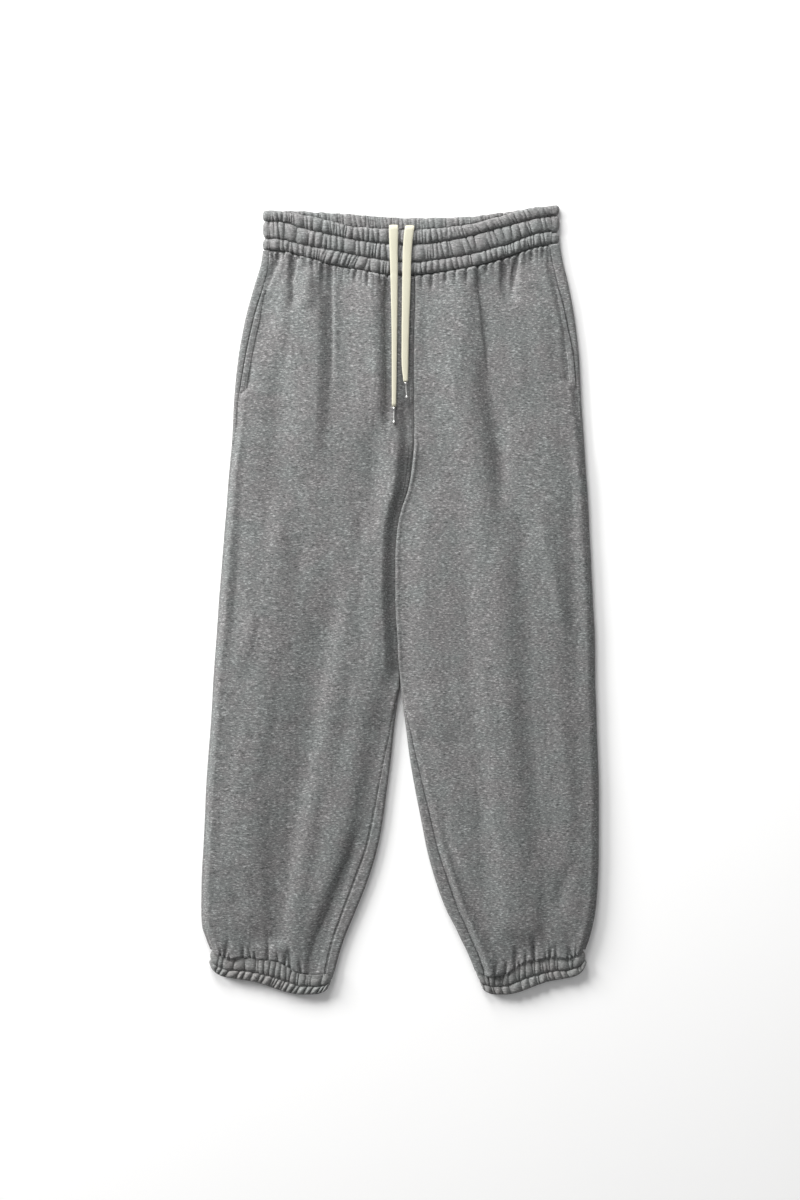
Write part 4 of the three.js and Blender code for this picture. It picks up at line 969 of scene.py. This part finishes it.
def waistband_back():
    right, left = BAND_END["right"]["roll"], BAND_END["left"]["roll"]
    x0 = BAND_SIDE["right"]["edge"] + right["radius"]
    x1 = BAND_SIDE["left"]["edge"] - left["radius"]
    q, r = np.meshgrid(spans((-2, -1, 6), (-1, 0, 13), (0, 1, 480), (1, 2, 13), (2, 3, 9)), np.linspace(0, 1, 60))
    e0, z0 = roll_point(right, unit(-q), unit(-q - 1))
    e1, z1 = roll_point(left, unit(q - 1), unit(q - 2))
    x, z = stretches(q, x0 - e0, mix(x0, x1, unit(q)), x1 + e1), stretches(q, z0, 0.0, z1)
    top, seam = back_band_at["top"](x), back_band_at["seam"](x)
    y = mix(top, seam, r)
    grid = np.stack([x, y, z], axis=-1)
    n = surface_normals(grid, 1)
    rolled = unit(np.maximum(-q, q - 1)) ** 0.5
    row3 = np.interp(r, [0, 0.27, 0.71, 1], [0, 1, 2, 3])
    flat = ease(np.minimum(q, 1 - q) / 0.03)
    path = x + np.where(q < -1, 3.0 * (q + 1), 0)
    side_relief = (channel_relief(path, row3, 4.4, 0.7) + 0.6) * rolled
    under = -(0.8 - 0.8 * np.clip(channel_relief(x, row3) + CHANNEL_SINK, 0, 3) / 3) * (1 - rolled)
    outer = grid + n * (side_relief + np.minimum(under, 0))[..., None]
    seen = np.maximum(top - band_at["top"](x), 0)
    first = np.maximum(seen + 1.5, 7) / np.maximum(top - seam, 1)
    top_row = r < first
    pill = np.where(top_row, pillows(x, (r - 0.18) * 50, gather_line(*BAND_ENDS, 5.4, 51), 0.12),
                    pillows(x, (r - 0.6) * 50, gather_line(*BAND_ENDS, 6.4, 52)))
    arch = tube(np.where(top_row, r / first, (r - first) / (1 - first)), unit(pill))
    lift = (-1.6 + 3.9 * arch - 2.6 * (1 - pill) * (0.3 + 0.7 * arch)) * flat
    inner = grid - n * (BAND_WALL + np.maximum(lift, -1.6))[..., None]
    wave = 0.7 * smooth_noise(x, x * 0, 5.5, 53) * np.exp(-r * 9) * flat
    outer[..., 1] += wave
    inner[..., 1] += wave
    outer[..., 2] = np.maximum(outer[..., 2], 0.0)
    return wall_object("waistband_back_cloth", outer, inner, 1, CLOTH_BAND, True)


# Cuffs: the shares of the way round where the front, the turn at the inseam and the back end
CUFF_FRONT_END, CUFF_TURN_END, CUFF_BACK_END = 0.4, 0.5, 0.9
CUFF_FRONT_COLUMNS = 400
CUFF_ROW_RINGS = 18
CUFF_SPAN = (-260, 260)


def cuff_place(side, at, row, roll):
    sign = SIDES[side]["sign"]
    xo, xi = CUFF_SIDE[side]["outer"](row), CUFF_SIDE[side]["inner"](row)
    a, b = xo - sign * CUFF_ROLL, xi + sign * CUFF_ROLL
    at_front, at_turn, at_back = at < CUFF_FRONT_END, at < CUFF_TURN_END, at < CUFF_BACK_END
    t1, t2 = (unit((at - start) / 0.1) * np.pi for start in (CUFF_FRONT_END, CUFF_BACK_END))
    x = np.select([at_front, at_turn, at_back],
                  [mix(a, b, at / CUFF_FRONT_END), b - sign * roll * np.sin(t1),
                   mix(b, a, (at - CUFF_TURN_END) / (CUFF_BACK_END - CUFF_TURN_END))],
                  a + sign * roll * np.sin(t2))
    z = np.select([at_front, at_turn, at_back],
                  [CUFF_ROLL + roll + CUFF_CROWN * np.sin(np.pi * unit(at / CUFF_FRONT_END)),
                   CUFF_ROLL + roll * np.cos(t1), CUFF_ROLL - roll], CUFF_ROLL - roll * np.cos(t2))
    across = unit((x - xo) / (xi - xo))
    hidden = np.where((at > CUFF_TURN_END) & at_back, 1.2, 0.0)
    y = mix(cuff_line(side, x) - CUFF_GAP, cuff_hem(across) + hidden, row)
    return np.stack([x, y, z], axis=-1)


def cuff(side):
    sign = SIDES[side]["sign"]
    at = spans((0, CUFF_FRONT_END, CUFF_FRONT_COLUMNS), (CUFF_FRONT_END, CUFF_TURN_END, 15),
               (CUFF_TURN_END, CUFF_BACK_END, 80), (CUFF_BACK_END, 1, 15))[:-1]
    ring = 0.5 - 0.5 * np.cos(np.pi * np.linspace(0, 1, CUFF_ROW_RINGS))
    q, r = np.meshgrid(at, np.concatenate([CUFF_STITCH_AT * ring[:-1], CUFF_STITCH_AT + (1 - CUFF_STITCH_AT) * ring]))
    outer, inner = cuff_place(side, q, r, CUFF_ROLL), cuff_place(side, q, r, CUFF_ROLL - BAND_WALL)
    u = np.roll(outer, -1, axis=1) - np.roll(outer, 1, axis=1)
    n = np.cross(u, np.gradient(outer, axis=0)) * sign
    n = n / np.maximum(np.linalg.norm(n, axis=2, keepdims=True), 1e-9)
    seed, slant = {"right": (61, 0.65), "left": (71, 0.3)}[side]
    upper = gather_line(*CUFF_SPAN, 7.0, seed)
    places, depth, lean, bias = gather_line(*CUFF_SPAN, 7.4, seed + 1)
    lower = (places, 0.55 + 0.45 * depth, lean, 0.5 * bias)
    in_lower = r > CUFF_STITCH_AT
    t = np.where(in_lower, (r - CUFF_STITCH_AT) / (1 - CUFF_STITCH_AT), r / CUFF_STITCH_AT)
    x = outer[..., 0]
    pill = np.where(in_lower, pillows(x, (t - 0.5) * 11, lower, slant * sign) ** 1.7,
                    pillows(x, (t - 0.5) * 15.5, upper, 0.12 * sign))
    arch = tube(t, unit(pill), 0.09)
    arch = np.where(in_lower | (t > 0.5), arch, np.maximum(arch, 0.85))
    xo, xi = CUFF_SIDE[side]["outer"](r), CUFF_SIDE[side]["inner"](r)
    calm = ease(np.minimum(np.abs(x - xo), np.abs(x - xi)) / 12)
    cut = np.where(in_lower, 0.9 + 2.9 * arch, 1.0 + 1.9 * arch)
    relief = -2.2 + (1.6 + 2.4 * calm) * arch - calm * (1 - pill) * cut
    below = (q > CUFF_TURN_END) & (q < CUFF_BACK_END)
    edge = np.minimum(q - CUFF_TURN_END, CUFF_BACK_END - q)
    relief = np.where(below, np.clip(relief - 0.5, -1.4, 0) * ease(edge / 0.02), relief)
    outer = outer + n * relief[..., None]
    outer[..., 2] = np.maximum(outer[..., 2], 0.0)
    return wall_object(f"cuff_{side}_cloth", outer, inner, 5, CLOTH_CUFF, sign > 0, closed=True), outer


def declare(obj, node, slot):
    join_frame(obj, slot, node)


PANELS = {}
for side in ("right", "left"):
    front, outer, q = front_panel(side)
    back = back_panel(side)
    PANELS[side] = {"obj": front, "outer": outer, "q": q}
    declare(back, f"back_{side}", "fleece")
    declare(front, f"front_{side}", "fleece")

band_front, band_outer, band_rows = waistband_front()
band_back = waistband_back()
declare(band_back, "waistband_back", "waistband")
declare(band_front, "waistband_front", "waistband")
CUFFS = {}
for side in ("right", "left"):
    cloth, CUFFS[side] = cuff(side)
    declare(cloth, f"cuff_{side}", "cuff")


# Pocket hems
def pocket_hem(side):
    sign = SIDES[side]["sign"]
    top = level_at(side, "front", np.array([-1.0]), np.array([0.0]))[0]
    start, stop = ((top - y) / (top - CROTCH_Y) for y in (HEM_TOP_Y[side], HEM_END_Y[side]))
    tt, dd = np.meshgrid(np.linspace(0, 1, 11), np.linspace(start, stop, 90))
    a, b, _ = front_ends(side, level_at(side, "front", np.full(dd.shape, -1.0), dd))
    width = HEM_WIDTH * mix(0.45, 1.0, ease((dd - start) / 0.12))
    d = 0.3 + width * tt
    q = np.where(d < a["length"], -1 + d / a["length"], (d - a["length"]) / np.abs(b["x"] - a["x"]))
    y = level_at(side, "front", q, dd)
    x, z = front_section(side, q, y)
    grid = np.stack([x, y, z], axis=-1)
    n = surface_normals(grid, sign)
    ends = ease(np.minimum(dd - start, stop - dd) / 0.015)
    round_edge = np.sin(np.pi * unit(tt)) ** 0.35
    stitch = -0.35 * hill((tt - 0.78) * width, 0.9)
    lift = 0.5 + (0.75 * round_edge + stitch + 0.06 * np.sin(y * 1.6)) * (0.3 + 0.7 * ends)
    outer = grid + n * lift[..., None]
    return wall_object(f"pocket_hem_{side}_cloth", outer, grid - n * 0.6, 1, CLOTH, sign > 0), outer


# The line, pitch and radius of each row of stitches
STITCH_LINES = []
for side in ("right", "left"):
    hem, hem_outer = pocket_hem(side)
    declare(hem, f"pocket_hem_{side}", "fleece")
    STITCH_LINES.append((hem_outer[:, 8], 2.9, 0.34))
    for row in (0, -1):
        bar = np.linspace(hem_outer[row, 0], hem_outer[row, -1], 12) + np.array([0, 0, 0.5])
        STITCH_LINES.append((bar, 0.75, 0.42))


# Stitches: short raised threads laid along their lines
def stitch_mesh(name, lines):
    pts, quads, tris = [], [], []
    sides = 6
    turns = 2 * np.pi * np.arange(sides) / sides
    stations = [(0.0, 0.05), (0.18, 0.8), (0.5, 1.0), (0.82, 0.8), (1.0, 0.05)]
    for line, pitch, radius in lines:
        seg = np.linalg.norm(np.diff(line, axis=0), axis=1)
        total = np.concatenate([[0], np.cumsum(seg)])
        count = max(int(total[-1] / pitch), 1)
        for k in range(count):
            s0, s1 = (k + 0.12) * pitch, (k + 0.88) * pitch
            p0, p1 = (np.array([np.interp(s, total, line[:, c]) for c in range(3)]) for s in (s0, s1))
            t = (p1 - p0) / max(np.linalg.norm(p1 - p0), 1e-6)
            side_dir = np.cross(t, [0, 0, 1.0])
            side_dir /= max(np.linalg.norm(side_dir), 1e-6)
            up = np.cross(side_dir, t)
            base = len(pts)
            for f, w in stations:
                c = mix(p0, p1, f) + up * radius * (0.35 * math.sin(math.pi * f))
                for a in turns:
                    pts.append(c + (side_dir * math.cos(a) + up * math.sin(a) * 0.75) * radius * w)
            ids = base + np.arange(len(stations) * sides).reshape(-1, sides)
            nxt = np.roll(ids, -1, axis=1)
            quads.extend(np.stack([ids[:-1], nxt[:-1], nxt[1:], ids[1:]], axis=-1).reshape(-1, 4))
            first, last = ids[0], ids[-1]
            for m in range(1, sides - 1):
                tris += [(first[0], first[m + 1], first[m]), (last[0], last[m], last[m + 1])]
    return new_object(name, np.array(pts), quads, tris, THREAD, False)


PROUD = np.array([0, 0, 0.15])
for row in (1.0, 2.0):
    k = int(np.argmin(np.abs(band_rows[:, 0] - row)))
    STITCH_LINES.append((band_outer[k, 4:-4] + PROUD, 3.1, 0.32))
for side in ("right", "left"):
    STITCH_LINES.append((CUFFS[side][CUFF_ROW_RINGS - 1, 3:CUFF_FRONT_COLUMNS - 4] + PROUD, 3.1, 0.3))
right = PANELS["right"]
fly = right["outer"][:, np.abs(right["q"][0] - 1.0).argmin() + 1]
keep = (fly[:, 1] < 404) & (fly[:, 1] > PARTING_Y)
STITCH_LINES.append((fly[keep] + PROUD, 3.0, 0.3))
join_frame(stitch_mesh("stitches", STITCH_LINES), "fleece")

# Floor and light
floor_mesh = bpy.data.meshes.new("floor")
floor_mesh.from_pydata([(-6, -6, 0), (6, -6, 0), (6, 6, 0), (-6, 6, 0)], [], [(0, 1, 2, 3)])
floor_mesh.materials.append(speckled_material("floor_pale", 3.0, (0.965,) * 3, (0.98,) * 3, {"Roughness": 0.9}))
floor = add_object("floor", floor_mesh)
floor.location = (0, 0, -0.0004)


def area_light(name, location, target, size, power, colour):
    data = bpy.data.lights.new(name, "AREA")
    data.shape = "RECTANGLE"
    data.size = data.size_y = size
    data.energy = power
    data.color = colour
    obj = add_object(name, data)
    obj.location = location
    d = np.array(target) - np.array(location)
    yaw = math.atan2(d[1], d[0])
    pitch = math.atan2(math.hypot(d[0], d[1]), -d[2])
    obj.rotation_euler = (pitch, 0, yaw - math.pi / 2)


area_light("key", (-4.6, 2.5, 1.9), (0, 0.1, 0), 2.0, 450, (1.0, 0.998, 0.992))
area_light("top", (-0.7, 2.1, 1.2), (0, 0, 0), 1.2, 66, (1.0, 0.998, 0.992))
area_light("fill", (1.6, 0.4, 2.4), (0, 0, 0), 2.2, 8, (0.99, 0.995, 1.0))
world = bpy.data.worlds.new("studio")
world.use_nodes = True
backdrop = world.node_tree.nodes["Background"].inputs
backdrop["Color"].default_value = (1, 1, 1, 1)
backdrop["Strength"].default_value = 0.27
SCENE.world = world
SCENE.view_settings.view_transform = "Standard"
